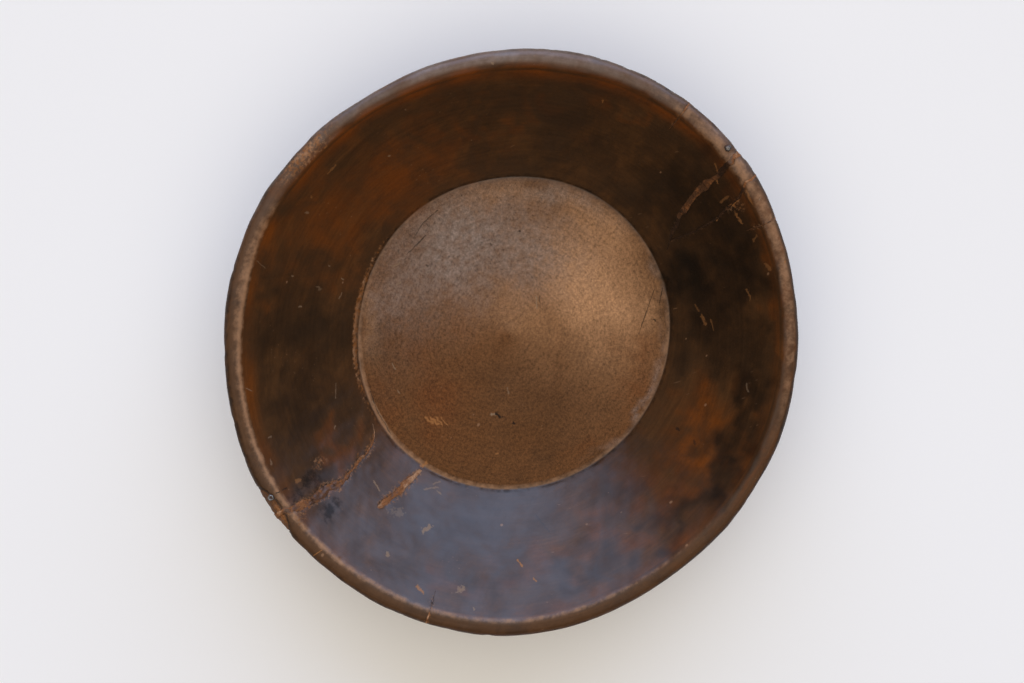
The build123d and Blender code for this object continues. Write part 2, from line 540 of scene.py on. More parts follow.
@dataclass(frozen=True)
class WoodRelief:
    """The unevenness of the hand-turned, worn wood."""

    form: BowlForm
    section: Section
    # Long and short swells and the tool's ripple: height, wavelength, seed
    swells: Rows = ((0.35 * MM, 85 * MM, 11), (0.10 * MM, 26 * MM, 12), (0.035 * MM, 9 * MM, 13))
    rim_knock: float = 0.35 * MM
    rim_knock_spacing: float = 10 * MM
    edge_groove: float = 0.45 * MM
    edge_groove_width: float = 1.7 * MM
    edge_groove_wave: float = 30 * MM
    gouge: float = 0.9 * MM
    gouge_inset: float = 1.5 * MM
    gouge_bearing: float = 128.0
    gouge_spread: float = 26.0
    # Small hollows: bearing and radius, then size and depth in millimetres
    dents: Rows = (
        (-155.0, 69.0, 1.6, 1.2), (-144.8, 75.0, 1.3, 1.0), (-52.8, 119.0, 1.4, 1.0),
        (-40.0, 131.5, 3.0, 1.2), (29.2, 76.9, 1.2, 0.7), (-27.3, 216.0, 2.6, 1.1), (74.0, 221.0, 5.0, 1.1),
        (79.0, 226.0, 6.0, 1.3), (84.5, 219.0, 4.0, 1.0), (175.2, 171.0, 1.8, 1.6),
    )

    def lift(self, rows: Array, bearing: Array) -> Array:
        """How far the worn surface stands out from the turned one.

        Three random fields of falling wavelength are added, then the knocks on the rim, the groove
        along the floor's edge and a bell for each dent are taken away. The base stays flat.

        Args:
            rows: Rows of the section.
            bearing: Bearings, one line of them for each row.

        Returns:
            The lift along each row's normal.
        """
        skin = Skin.of(self.form, self.section, rows, bearing)
        points, zone, from_edge = skin.points(), skin.zone, skin.past_floor()
        knocks = np.clip(waves(points, self.rim_knock_spacing, 14) - 1, 0, None)
        lift = ruffle(points, self.swells) - (zone == Zone.RIM) * self.rim_knock * knocks
        uneven = 0.6 + 0.4 * waves(points, self.edge_groove_wave, 15)
        groove = self.edge_groove * uneven * hump(from_edge, self.edge_groove_width)
        gouged = self.gouge * hump(turn_to(bearing, self.gouge_bearing), self.gouge_spread)
        groove = groove + gouged * hump(from_edge + self.gouge_inset, 2 * self.edge_groove_width)
        lift = lift - (zone <= Zone.WALL) * groove
        for at, radius, size, depth in self.dents:
            away = np.linalg.norm(points[..., :2] - self.form.plan((at, radius)), axis=-1)
            lift = lift - (zone <= Zone.RIM) * depth * MM * hump(away, size * MM)
        return np.where(zone == Zone.BASE, 0.0, lift)

    def surface(self, rows: Array, bearing: Array, lift: Array) -> Array:
        """Points of the section's rows at each bearing.

        Args:
            rows: Rows of the section.
            bearing: Bearings, one line of them for each row.
            lift: How far each point is moved along its row's normal.

        Returns:
            The points.
        """
        section = self.section
        radius = section.radius[rows][:, None] + lift * section.out_radial[rows][:, None]
        height = section.height[rows][:, None] + lift * section.out_up[rows][:, None]
        return self.form.spot(radius, np.maximum(height, 0), bearing)


@dataclass(frozen=True)
class SplitLine:
    """A line along which the wall has parted, as stations from outside the rim down the wall.

    A station has its share of the way from the floor's edge to the rim, its bearing, and its share
    of the split's width.
    """

    width: float
    stations: Rows
    seed: int
    bareness: float
    raggedness: float = 0.55 * MM
    long_wave: float = 11 * MM
    short_wave: float = 4.5 * MM

    @property
    def tip(self) -> float:
        """The share at its lower end."""
        return self.stations[-1][0]

    @property
    def top(self) -> float | None:
        """The share at its upper end, or None if it goes through the rim."""
        return self.stations[0][0] if self.stations[0][0] < 1 else None

    def edges(self, form: BowlForm, share: Array) -> Pair:
        """The bearings of the split's two ragged edges.

        Bearing and width run straight between stations, and each edge wanders from there by the
        sum of a long and a short random wave.

        Args:
            form: The bowl.
            share: Where along the split.

        Returns:
            The lower and the higher bearing at each share.
        """
        shares, bearings, widths = np.array(self.stations)[::-1].T
        centre = np.interp(share, shares, unwrapped(bearings))
        radius = form.floor_radius + share * form.wall_run
        half = np.interp(share, shares, widths) * self.width / 2
        reach = np.minimum(self.raggedness, 0.5 * half)
        sides = []
        for seed in (self.seed, self.seed + 2):
            wander = 0.8 * along_line(radius, self.long_wave, seed)
            wander = wander + 0.5 * along_line(radius, self.short_wave, seed + 1)
            sides.append(np.degrees((half + reach * wander) / radius))
        low = centre - sides[0]
        return low, np.maximum(centre + sides[1], low + HAIR)


@dataclass(frozen=True)
class Gap:
    """An opening through the wall: its two edges on every row, and the inside rows that it spans."""

    low: Array
    high: Array
    start: int
    stop: int
    to_rim: bool
    bareness: float

    @property
    def rows(self) -> Array:
        """The inside rows of the opening."""
        return np.arange(self.start, self.stop + 1)


@dataclass(frozen=True)
class Splits:
    """Every split of the bowl, and the openings that they make."""

    form: BowlForm
    section: Section
    left: SplitLine = SplitLine(
        7.0 * MM,
        (
            (1.05, 157.8, 0.45), (0.96, 158.0, 0.45), (0.85, 158.7, 0.60), (0.80, 159.8, 0.95),
            (0.70, 160.9, 1.00), (0.57, 161.4, 0.90), (0.47, 162.5, 0.65), (0.41, 162.5, 0.45),
            (0.29, 161.8, 0.42), (0.15, 160.8, 0.32), (0.08, 158.8, 0.22), (0.04, 153.1, 0.10),
        ),
        101,
        bareness=0.45,
        raggedness=0.9 * MM,
    )
    lower: SplitLine = SplitLine(
        4.4 * MM,
        (
            (0.45, 174.5, 0.15), (0.42, 174.9, 0.75), (0.38, 175.3, 1.00),
            (0.22, 177.4, 1.00), (0.13, 178.5, 1.00), (0.06, 179.3, 1.05), (0.02, 179.7, 0.85),
        ),
        111,
        bareness=0.65,
    )
    right: SplitLine = SplitLine(
        5.8 * MM,
        (
            (1.05, -16.8, 0.95), (0.97, -16.9, 0.95), (0.85, -17.2, 0.70), (0.75, -18.1, 0.80),
            (0.67, -18.2, 1.00), (0.58, -18.5, 1.00), (0.50, -19.4, 1.00), (0.42, -20.6, 0.90),
            (0.34, -21.6, 0.55), (0.29, -23.4, 0.40), (0.21, -25.5, 0.32), (0.12, -29.4, 0.14),
        ),
        121,
        bareness=0.10,
    )
    seam: SplitLine = SplitLine(
        1.8 * MM,
        (
            (1.05, -23.3, 0.78), (0.90, -22.3, 0.90), (0.80, -24.6, 1.00), (0.69, -25.6, 0.90),
            (0.58, -26.8, 0.78), (0.40, -27.5, 0.67), (0.18, -26.9, 0.56),
        ),
        131,
        bareness=0.10,
    )
    # Short splits that cross only the rim: where, bearing, seed
    rim_splits: tuple[tuple[str, float, int], ...] = (
        ("right", -31.9, 141), ("top", -3.1, 151), ("bottom", -163.3, 161),
    )
    rim_split_width: float = 1.6 * MM
    rim_split_tip: float = 0.38
    rim_split_reach: float = 26.0 * MM
    rim_split_bareness: float = 0.25
    rim_split_raggedness: float = 0.3 * MM

    def rim_lines(self) -> dict[str, SplitLine]:
        """Lays out the short splits, at full width across the rim and tapering inwards.

        Returns:
            The splits, by where they are.
        """
        found = {}
        tip = 1 - self.rim_split_reach / self.form.wall_run
        for name, at, seed in self.rim_splits:
            stations = ((1.05, at, 1.0), (1.0, at, 1.0), (tip, at, self.rim_split_tip))
            roughness = self.rim_split_bareness, self.rim_split_raggedness
            found[name] = SplitLine(self.rim_split_width, stations, seed, *roughness)
        return found

    def opening(
        self, edges: Callable[[Array], Pair], tip: float, top: float | None = None, bareness: float = 0.0
    ) -> Gap:
        """Lays an opening's two edges along every row.

        Between its tip and its top it has its true edges. Past them the two edges lie a hair apart,
        and on the floor and base they swing to a steady bearing, so that columns of the mesh can
        follow them all the way.

        Args:
            edges: Gives the two bearings at each share.
            tip: The share at its lower end.
            top: The share at its upper end, or None if it goes through the rim.
            bareness: How much bare wood shows along it.

        Returns:
            The opening.
        """
        section = self.section
        ceiling = section.share.max() if top is None else top
        low, high = edges(np.clip(section.share, tip, ceiling))
        rest = float(np.mean(edges(np.array([(tip + ceiling) / 2]))))
        swing = smooth_step(0.5, 1.0, section.radius / self.form.floor_radius)
        centre = rest + swing * ((low + high) / 2 - rest)
        inner = np.arange(section.first, section.middle + 1)
        spanned = inner[(section.share[inner] >= tip) & (section.share[inner] <= ceiling)]
        active = np.isin(np.arange(len(section.radius)), np.concatenate([spanned, section.facing(spanned)]))
        half = np.where(active, (high - low) / 2, HAIR + 0.25 * (1 - swing))
        return Gap(centre - half, centre + half, int(spanned[0]), int(spanned[-1]), top is None, bareness)

    def gap_of(self, split: SplitLine) -> Gap:
        """The opening of one split."""
        return self.opening(lambda share: split.edges(self.form, share), split.tip, split.top, split.bareness)

    def both(self, share: Array) -> tuple[Array, Array, Array, Array]:
        """The two edges of the seam and of the right split at each share."""
        return *self.seam.edges(self.form, share), *self.right.edges(self.form, share)

    def around_fragment(self, share: Array) -> Pair:
        """The opening that the fragment and both its seams fill: from the far seam to the split."""
        seam_low, _, low, high = self.both(share)
        return np.where(share >= self.seam.tip, np.minimum(seam_low, low), low), high

    def fragment_edges(self, share: Array) -> Pair:
        """The fragment itself: from the inner edge of its seam to the near edge of the split."""
        _, seam_high, right_low, _ = self.both(share)
        return np.minimum(seam_high, right_low - HAIR), right_low

    def seam_edges(self, share: Array) -> Pair:
        """The seam's filling, which stops at the split.

        Args:
            share: The share of each row.

        Returns:
            The bearings of its two edges at each row.
        """
        seam_low, seam_high, right_low, _ = self.both(share)
        low = np.minimum(seam_low, right_low - 2 * HAIR)
        return low, np.maximum(np.minimum(seam_high, right_low - HAIR), low + HAIR)

    def body_gaps(self) -> list[Gap]:
        """Finds the openings in the bowl's body.

        Returns:
            The openings, in order of bearing.
        """
        gaps = [self.gap_of(split) for split in (self.left, self.lower, *self.rim_lines().values())]
        gaps.append(self.opening(self.around_fragment, self.right.tip, None, self.right.bareness))
        return sorted(gaps, key=lambda gap: gap.low[gap.stop])


@dataclass(frozen=True)
class Mark:
    """A chip, scratch, hole or drip on the inside, or the painted shade and highlight of a dent, along a
    short line, with its width in millimetres.
    """

    tint: Tint
    start: Place
    end: Place
    width: float
    strength: float


# The bearing and radius of both ends of each mark, its width and its strength
MARK_ROWS: dict[Tint, Rows] = {
    Tint.PALE: (
        (-171.2, 172, -169.4, 167, 2.4, 0.75), (-158.2, 201.6, -157, 199, 2.5, 0.65),
        (-177.4, 195.6, -176.7, 197.2, 1.3, 0.7), (-154.2, 210.6, -153.9, 211.2, 1, 0.6),
        (178.9, 170.4, -179.4, 167.6, 4.2, 0.3), (-175.9, 145.5, -172.2, 140.6, 0.9, 0.55),
        (-174.2, 139.9, -172.4, 136, 0.8, 0.5), (-171.9, 143, -170.3, 143.8, 0.8, 0.6),
        (169, 162.4, 172.2, 164.8, 0.6, 0.7), (67.1, 181.6, 66.8, 180.8, 1.1, 0.6),
        # The second mark here, at (-160, 69), lightens the left side of the dent at (-155, 69): painted
        # highlight.
        (38, 221.4, 37.6, 220.8, 1.2, 0.7), (-160, 69, -157.6, 69.1, 1.7, 0.9),
        (93.2, 115.6, 90.2, 112, 1, 0.6), (98.8, 104.6, 97.6, 103.3, 1.1, 0.5),
        (-1.3, 36.7, -13.1, 29.4, 0.7, 0.9), (136.1, 102.3, 139.2, 100.7, 0.7, 0.6),
        (149, 105.4, 150.3, 104.7, 0.9, 0.6), (-150.2, 45.4, -148.3, 50.5, 0.7, 0.5),
        (148.3, 129, 163.8, 131, 0.7, 0.45), (107.4, 167.6, 107.6, 165.9, 1.5, 0.3),
        (90.2, 197.2, 90.3, 195.2, 1.3, 0.45), (105.4, 187.9, 105.5, 187, 0.9, 0.5),
        (113, 177.6, 113.1, 176.2, 0.8, 0.6), (100.7, 164.4, 100.8, 163.4, 0.8, 0.55),
        (108, 148.9, 109.9, 150, 0.5, 0.5), (103.6, 151.6, 103.7, 150.8, 0.8, 0.6),
        (103.3, 216, 104.9, 206.9, 0.4, 0.4), (149.4, 163.4, 148.9, 162.2, 0.8, 0.5),
        (142.9, 207.2, 143, 205.6, 0.9, 0.45), (-26.8, 223.6, -27, 222.6, 1, 0.6),
        (58, 206, 57.8, 205.2, 0.8, 0.45), (-67.8, 194.7, -69.3, 196.5, 0.8, 0.35),
        (130.1, 217.3, 131.8, 210.4, 0.5, 0.5), (137.1, 151.6, 141.4, 154.7, 0.4, 0.45),
        (147.3, 211.5, 148.4, 212, 0.8, 0.45),
    ),
    Tint.ORANGE: (
        (-167.6, 206.4, -165.9, 208.4, 1.4, 0.8), (-144.2, 179.9, -143.1, 183.8, 0.9, 0.9),
        (-140.3, 192.6, -139.9, 194, 0.8, 0.8), (-25, 209.6, -25.5, 199.8, 1.3, 0.75),
        (-27.6, 202.8, -30, 203.8, 1.1, 0.55), (-23.9, 217.1, -27, 216.2, 1.2, 0.5),
        (-26.6, 189.6, -27.1, 188.2, 1.1, 0.6), (-15.6, 209.5, -17.4, 207.6, 0.7, 0.45),
        (-18.6, 203.4, -19.6, 203.2, 0.8, 0.6), (167.1, 98.6, 171.7, 98.2, 1.5, 0.8),
        (168.7, 95.3, 174, 96.2, 1.5, 0.85), (170.8, 92.8, 176.3, 94.3, 1.4, 0.8),
        (173.2, 90.7, 178.5, 91.9, 1, 0.75), (-153.1, 101.8, -152.3, 101.4, 0.9, 0.7),
        (-40.3, 210.8, -41.3, 212.5, 1.6, 0.35), (169.5, 227, 169.8, 219.5, 0.6, 0.8),
        (179.4, 132.4, 179.9, 128.6, 1.9, 0.85), (86.4, 201.4, 86.5, 200.2, 1.2, 0.45),
        (76.2, 216.2, 76, 215, 1.3, 0.5), (80.2, 201.8, 77.6, 202.2, 0.9, 0.45),
        (154.8, 203.2, 155.3, 201.2, 1.7, 0.4), (12.9, 201.8, 12.8, 200.8, 1, 0.55),
        (-40.6, 225.6, -40.9, 224.6, 1.1, 0.6), (-51.8, 156.9, -54.3, 159.3, 1.4, 0.4),
        (-52.8, 163.6, -55.9, 166.1, 0.7, 0.3), (-48.2, 152, -50.1, 155.3, 1, 0.25),
        (-45.4, 194.2, -47.6, 195.4, 1.3, 0.35), (-23.6, 197.7, -23.3, 203.9, 1.3, 0.35),
        (-34.9, 206.4, -33.8, 209.9, 1.2, 0.3),
    ),
    Tint.DARK: (
        # The first three lie in dents on the floor and darken them: painted shade.
        (-155.6, 68.6, -154.2, 69.6, 2, 0.95), (-145, 75, -144.5, 75.2, 1.3, 0.9),
        (-40.9, 122.7, -58.1, 106, 0.45, 0.8), (-41.4, 129.6, -47.1, 124.1, 0.45, 0.7),
        (-52.6, 118.4, -53.1, 119.4, 1.2, 0.85), (-138, 151.8, -134.8, 164.7, 0.9, 0.45),
        (-86, 158.4, -86.3, 160.2, 1.3, 0.7), (-86.3, 173.9, -86.7, 175.4, 0.9, 0.6),
        (64.5, 121.7, 71.8, 120.2, 0.5, 0.8), (71.8, 120.2, 79, 116, 0.45, 0.6),
        (74.4, 110.2, 85.7, 111.2, 0.5, 0.75), (-4.5, 38.2, -15.6, 32, 0.5, 0.55),
        (29.4, 85.9, 29, 85.3, 1, 0.8), (14.7, 92.5, 14.3, 92.2, 0.9, 0.75), (16.6, 80.6, 16, 80, 0.9, 0.7),
        (46.7, 77, 46.3, 76.3, 0.9, 0.65), (83.9, 92, 83.8, 91, 0.8, 0.6),
        (154.2, 219, 154.6, 211.5, 0.7, 0.9), (144.3, 128.1, 152.5, 129.1, 0.5, 0.7),
        (152.5, 129.1, 162.7, 130.4, 0.5, 0.6),
    ),
}


@dataclass(frozen=True)
class MarkMap:
    """Lays each mark's own coordinates on the vertices round it, so that a finish can draw it finely.

    Marks of one tint that lie close together go in separate layers. Away from every mark of its
    layer, a vertex holds coordinates that are far off.
    """

    form: BowlForm
    margin: float = 4.5 * MM
    parting: float = 4.6 * MM
    far: float = 1000.0

    def ends(self, mark: Mark) -> Pair:
        """The two ends of a mark, seen from above."""
        return self.form.plan(mark.start), self.form.plan(mark.end)

    def reach(self, mark: Mark) -> float:
        """How far round a mark its coordinates are laid."""
        return 1.6 * mark.width * MM + self.margin

    def apart(self, one: Mark, other: Mark) -> bool:
        """Whether two marks are far enough apart to share a layer.

        Args:
            one: A mark.
            other: Another mark.

        Returns:
            Whether the least distance between points along them leaves room for both.
        """
        t = np.linspace(0, 1, 9)[:, None]
        lines = [start + t * (end - start) for start, end in (self.ends(one), self.ends(other))]
        gap = np.linalg.norm(lines[0][:, None] - lines[1][None], axis=-1).min()
        return gap > self.reach(one) + self.reach(other) + self.parting

    def layers(self) -> dict[str, list[Mark]]:
        """Sorts the marks into layers.

        Returns:
            The marks of each layer, by its tint and number.
        """
        found: dict[str, list[Mark]] = {}
        for tint, rows in MARK_ROWS.items():
            for row in rows:
                mark = Mark(tint, row[:2], row[2:4], *row[4:])
                number = 0
                while not all(self.apart(mark, other) for other in found.get(f"{tint.value}_{number}", [])):
                    number += 1
                found.setdefault(f"{tint.value}_{number}", []).append(mark)
        return found

    def fields(self, points: Array, inside: Array) -> dict[str, Array]:
        """The marks' coordinates at each point.

        They are the way along the mark from its middle, the way across it and half its length, all
        over its width, then its strength. The first two are linear in the plan, so faces keep them.

        Args:
            points: The places.
            inside: Whether each place is on the bowl's inside.

        Returns:
            Four numbers for each point, by layer.
        """
        found = {}
        for name, marks in self.layers().items():
            local = np.full((*points.shape[:-1], 4), self.far)
            local[..., 2:] = 0
            for mark in marks:
                start, end = self.ends(mark)
                length = np.linalg.norm(end - start)
                ahead = (end - start) / length
                way = points[..., :2] - (start + end) / 2
                along, across = way @ ahead, way @ np.array([-ahead[1], ahead[0]])
                away = np.hypot(np.maximum(np.abs(along) - length / 2, 0), across)
                here = np.stack([along, across, np.full_like(along, length / 2)], axis=-1) / (mark.width * MM)
                here = np.concatenate([here, np.full_like(here[..., :1], mark.strength)], axis=-1)
                local = np.where(((away < self.reach(mark)) & inside)[..., None], here, local)
            found[name] = local
        return found


@dataclass(frozen=True)
class Arc:
    """A stretch of the bowl, as a bell round a bearing with a spread in degrees."""

    bearing: float
    spread: float

    def at(self, bearing: Array) -> Array:
        """How far each bearing belongs to the stretch, from 0 to 1."""
        return hump(turn_to(bearing, self.bearing), self.spread)


@dataclass(frozen=True)
class Patina:
    """Where the wood is amber, sooty, hazed, rubbed, bare or grimy, and where highlights, shade and a
    reflection are painted, as numbers on each vertex.

    A row of a tone is a soft patch: its bearing and radius, how far it spreads along and around the
    wall in millimetres, and its strength.
    """

    form: BowlForm
    section: Section
    marks: MarkMap
    amber: Rows = (
        (74, 165, 26, 44, 0.75), (93, 172, 34, 32, 0.65), (60, 148, 18, 36, 0.45), (86, 207, 12, 30, 0.45),
        (-86, 177, 20, 32, 0.9), (-94, 180, 14, 24, 0.65), (-103, 156, 15, 24, 0.4),
        (-86, 215.5, 4, 50, 0.5), (155.5, 178, 9, 11, 0.55), (-25, 213, 8, 16, 0.5),
        (100, 208, 10, 40, 0.55), (-140, 186, 12, 24, 0.35), (-118, 178, 16, 22, 0.45),
        (-158, 198, 8, 16, 0.4), (2, 214, 4, 34, 0.45), (157, 90, 32, 42, 0.85), (-112, 119, 16, 22, 0.7),
        (146, 28, 22, 26, 0.45), (-78, 112, 16, 30, 0.6), (40, 118, 10, 36, 0.45), (154.9, 171, 12, 8, 0.6),
        (48, 176, 22, 14, 0.45), (34.5, 174, 16, 7, 0.4), (20, 187, 10, 12, 0.35), (-44, 225, 6, 120, 0.55),
    )
    # Dark patches; those on the right wall, near bearings -22 to -72, also stand for the shade on that wall:
    # painted shade.
    soot_and_shade: Rows = (
        (-42, 158, 36, 52, 1), (-38, 192, 28, 52, 0.95), (-58, 178, 34, 30, 0.6), (-12, 168, 36, 36, 0.6),
        (14, 172, 40, 44, 0.4), (40, 186, 34, 50, 0.22), (118, 170, 34, 34, 0.55), (140, 176, 40, 36, 0.55),
        (-22, 186, 42, 44, 0.85), (-36, 206, 16, 60, 0.7), (-60, 205, 8, 60, 0.6), (-38.5, 127, 6, 10, 0.5),
        (-72, 200, 18, 34, 0.92), (-112, 66, 40, 54, 0.4), (-149, 34, 22, 28, 0.42),
        (128, 117, 14, 22, 0.45), (-87, 206, 14, 34, 0.85), (-97, 197, 15, 26, 0.62),
        (-130, 194, 13, 32, 0.6), (-108, 203, 10, 20, 0.6), (-112, 150, 18, 26, 0.5),
        (-160, 176, 50, 80, 0.5), (-124, 99, 14, 19, 0.55),
    )
    tan: Rows = (
        (-30, 76, 46, 62, 1), (-12, 108, 26, 50, 0.75), (-50, 112, 20, 26, 0.75), (34, 118, 14, 46, 0.45),
        (118, 122, 9, 30, 0.35), (0, 20, 40, 40, 0.45),
    )
    # Grey bloom on the floor, partly a painted sheen; the rows at radius 224 lie on the rim's top and are the
    # sky's painted reflection.
    haze_and_sheen: Rows = (
        (64, 88, 46, 70, 0.92), (28, 70, 36, 50, 0.72), (104, 106, 22, 38, 0.55), (14, 122, 10, 50, 0.6),
        (60, 122, 10, 40, 0.5), (-85, 130, 3, 46, 0.6), (38, 224, 9, 160, 0.45), (-14, 224, 6, 34, 0.4),
        (-38.5, 129, 4, 9, 0.4),
    )
    grime_halos: Rows = (
        (156.8, 195.7, 6, 6, 0.9), (165.4, 196.9, 7, 7, 0.9), (154.4, 223.8, 4, 4, 0.7),
        (-14.7, 224.6, 4, 4, 0.6), (157.4, 208, 7, 5, 0.5), (-40, 133.5, 4, 9, 0.8),
    )
    bare_patches: Rows = (
        (80, 226, 8, 22, 0.78), (161.5, 215, 4, 7, 0.5), (-26, 206, 7, 5, 0.35), (155, 184, 6, 6, 0.35),
    )
    # Random fields that push the patches about, so that none has a clean edge: size, wavelength, seed
    radius_push: Rows = ((7 * MM, 34 * MM, 21), (2.5 * MM, 11 * MM, 22))
    bearing_push: Rows = ((4.0, 36 * MM, 23), (1.4, 12 * MM, 24))
    small_radius_push: Rows = ((0.8 * MM, 7 * MM, 25),)
    small_bearing_push: Rows = ((0.4, 8 * MM, 26),)
    # Rubbed stretches of the rim's top, with a painted highlight where its rounding meets the light: bearing,
    # spread and strength, then how far they lie from its inner edge and how far they spread, in millimetres
    rim_rubs_and_highlights: Rows = (
        (104.0, 12.0, 0.30, 2.05, 3.0), (-37.0, 28.0, 0.54, 5.5, 4.2), (-16.0, 12.0, 0.50, 3.0, 4.0),
    )
    # From where to where the wall turns into the rim's top, from its inner edge
    rim_turn: Place = (-1.5 * MM, 3.0 * MM)
    rim_narrowing: float = 2.8 * MM
    narrow: Arc = Arc(54.0, 42.0)
    sheen: Arc = Arc(42.0, 50.0)
    dull: Arc = Arc(-50.0, 45.0)
    right_side: Arc = Arc(-52.0, 40.0)
    left_side: Arc = Arc(140.0, 40.0)
    plain_wall: Arc = Arc(-165.0, 60.0)
    crest: Arc = Arc(128.0, 46.0)
    crest_start: Place = (-40.0, -24.0)
    low_crest: Arc = Arc(-165.0, 55.0)
    lined_edge: Arc = Arc(165.0, 62.0)
    far_lined_edge: Arc = Arc(-55.0, 30.0)
    orange_edge: Arc = Arc(118.0, 24.0)

    @staticmethod
    def patches(spots: Rows, radius: Array, bearing: Array) -> Array:
        """The strongest of several soft patches, each a bell along and around the wall.

        Args:
            spots: The patches.
            radius: The radius of each point.
            bearing: Its bearing.

        Returns:
            The strength at each point.
        """
        best = np.zeros(np.broadcast(radius, bearing).shape)
        for at, centre, along, around, strength in spots:
            way = np.radians(turn_to(bearing, at)) * centre * MM
            value = strength * hump(radius - centre * MM, along * MM) * hump(way, around * MM)
            best = np.maximum(best, value)
        return best

    def rubbed_and_highlight(self, skin: Skin, top: Array) -> Array:
        """Where the wood is rubbed pale, and where highlights are painted on the rim: bells across the rim,
        the foot and the floor's edge.

        Args:
            skin: The places.
            top: How far each is on top of the rim, or inside it.

        Returns:
            The wear and the painted highlights, with a strength that changes round the bowl.
        """
        bearing, zone, past_rim = skin.bearing, skin.zone, skin.past_rim()
        # The bell along the rim's inner crest, on the left and at the bottom, is worn wood with a painted
        # highlight.
        crest = self.crest.at(bearing) * smooth_step(*self.crest_start, turn_to(bearing, self.crest.bearing))
        crest = crest + 0.34 * self.low_crest.at(bearing)
        past_crest = past_rim + 0.95 * MM
        rubbed_and_highlight = crest * (1.1 * hump(past_crest, 1.35 * MM) + 0.12 * hump(past_crest - 2.4 * MM, 3.0 * MM))
        for at, spread, strength, out, width in self.rim_rubs_and_highlights:
            rubbed_and_highlight = rubbed_and_highlight + strength * Arc(at, spread).at(bearing) * hump(past_rim - out * MM, width * MM)
        foot = self.form.corners()["base_flat"][0]
        rubbed_and_highlight = rubbed_and_highlight * (zone <= Zone.RIM) * top
        rubbed_and_highlight = rubbed_and_highlight + 0.4 * hump(skin.radius - foot, 2.5 * MM) * (zone == Zone.BASE)
        edge = 0.10 + 0.80 * self.lined_edge.at(bearing) + 0.35 * self.far_lined_edge.at(bearing)
        return rubbed_and_highlight + edge * hump(skin.past_floor() + 0.6 * MM, 1.1 * MM) * (zone <= Zone.WALL)

    def under_rim(self, skin: Skin, past_narrow: Array) -> Array:
        """The amber band on the wall under the rim, a bell that is slimmer on the right.

        Args:
            skin: The places.
            past_narrow: How far out each is from where the rim's top starts.

        Returns:
            The strength of the band.
        """
        right = self.right_side.at(skin.bearing)
        # Stronger where the rim faces the sky and faint on the lower wall: the wood's amber, with a painted
        # highlight where the wall turns into the rim.
        band = 0.75 - 0.25 * right + 0.45 * self.sheen.at(skin.bearing)
        band = band * (1 - 0.9 * self.plain_wall.at(skin.bearing))
        band = band * hump(past_narrow + (5.6 - 2.4 * right) * MM, (5.0 - 1.4 * right) * MM)
        return band * (0.85 + (0.3 - 0.2 * right) * waves(skin.points(), 30 * MM, 28))

    def fields(self, rows: Array, bearing: Array) -> dict[str, Array]:
        """The tones at each row and bearing.

        Args:
            rows: Rows of the section.
            bearing: Bearings, one line of them for each row.

        Returns:
            Numbers from 0 to about 1 for each tone, by name, and the marks' coordinates by layer.
        """
        skin = Skin.of(self.form, self.section, rows, bearing)
        points, radius, zone, past_floor = skin.points(), skin.radius, skin.zone, skin.past_floor()
        sheen, right, left = (arc.at(bearing) for arc in (self.sheen, self.right_side, self.left_side))
        loose = (radius + ruffle(points, self.radius_push), bearing + ruffle(points, self.bearing_push))
        gentle = ((radius + loose[0]) / 2, (bearing + loose[1]) / 2)
        small_push = (self.small_radius_push, self.small_bearing_push)
        near = [part + ruffle(points, push) for part, push in zip((radius, bearing), small_push)]
        inside = np.where(zone <= Zone.WALL, 1.0, 0.0) + (zone == Zone.RIM) * skin.near_top(4 * MM, 1 * MM)
        floor = np.where(zone <= Zone.WALL, 1 - smooth_step(-2.2 * MM, 0.3 * MM, past_floor), 0.0)
        outside = 0.5 + 0.5 * waves(points, 70 * MM, 27)

        from_outside = radius - self.form.rim_radius
        top = np.where(from_outside > -4 * MM, skin.near_top(9 * MM, 2 * MM), 1.0)
        past_narrow = skin.past_rim() - self.rim_narrowing * self.narrow.at(bearing)
        on_rim = smooth_step(*self.rim_turn, past_narrow) * (zone <= Zone.RIM) * top
        reach = (3.2 + 1.6 * right + 3.5 * left) * MM
        outer_edge = smooth_step(-1.0, -0.2, from_outside / reach) * (zone == Zone.RIM) * (0.3 + 0.7 * top)
        matt = smooth_step(*self.rim_turn, skin.past_rim()) * (0.61 + 0.39 * top)
        gloss = np.where(zone <= Zone.RIM, 1 - 0.90 * matt + 0.75 * sheen * on_rim, 0.45) * (1 - 0.97 * floor)
        gloss = gloss * (1 - 0.3 * self.dull.at(bearing)) * (1 - 0.8 * outer_edge * (1 - sheen))

        # Dark halos by the nails, the staple and a dent, and a dark line on the wall along the floor's edge:
        # dirt, with painted shade in the crease.
        grime_and_shade = self.patches(self.grime_halos, *near) + 0.5 * hump(past_floor - 0.9 * MM, 1.0 * MM)
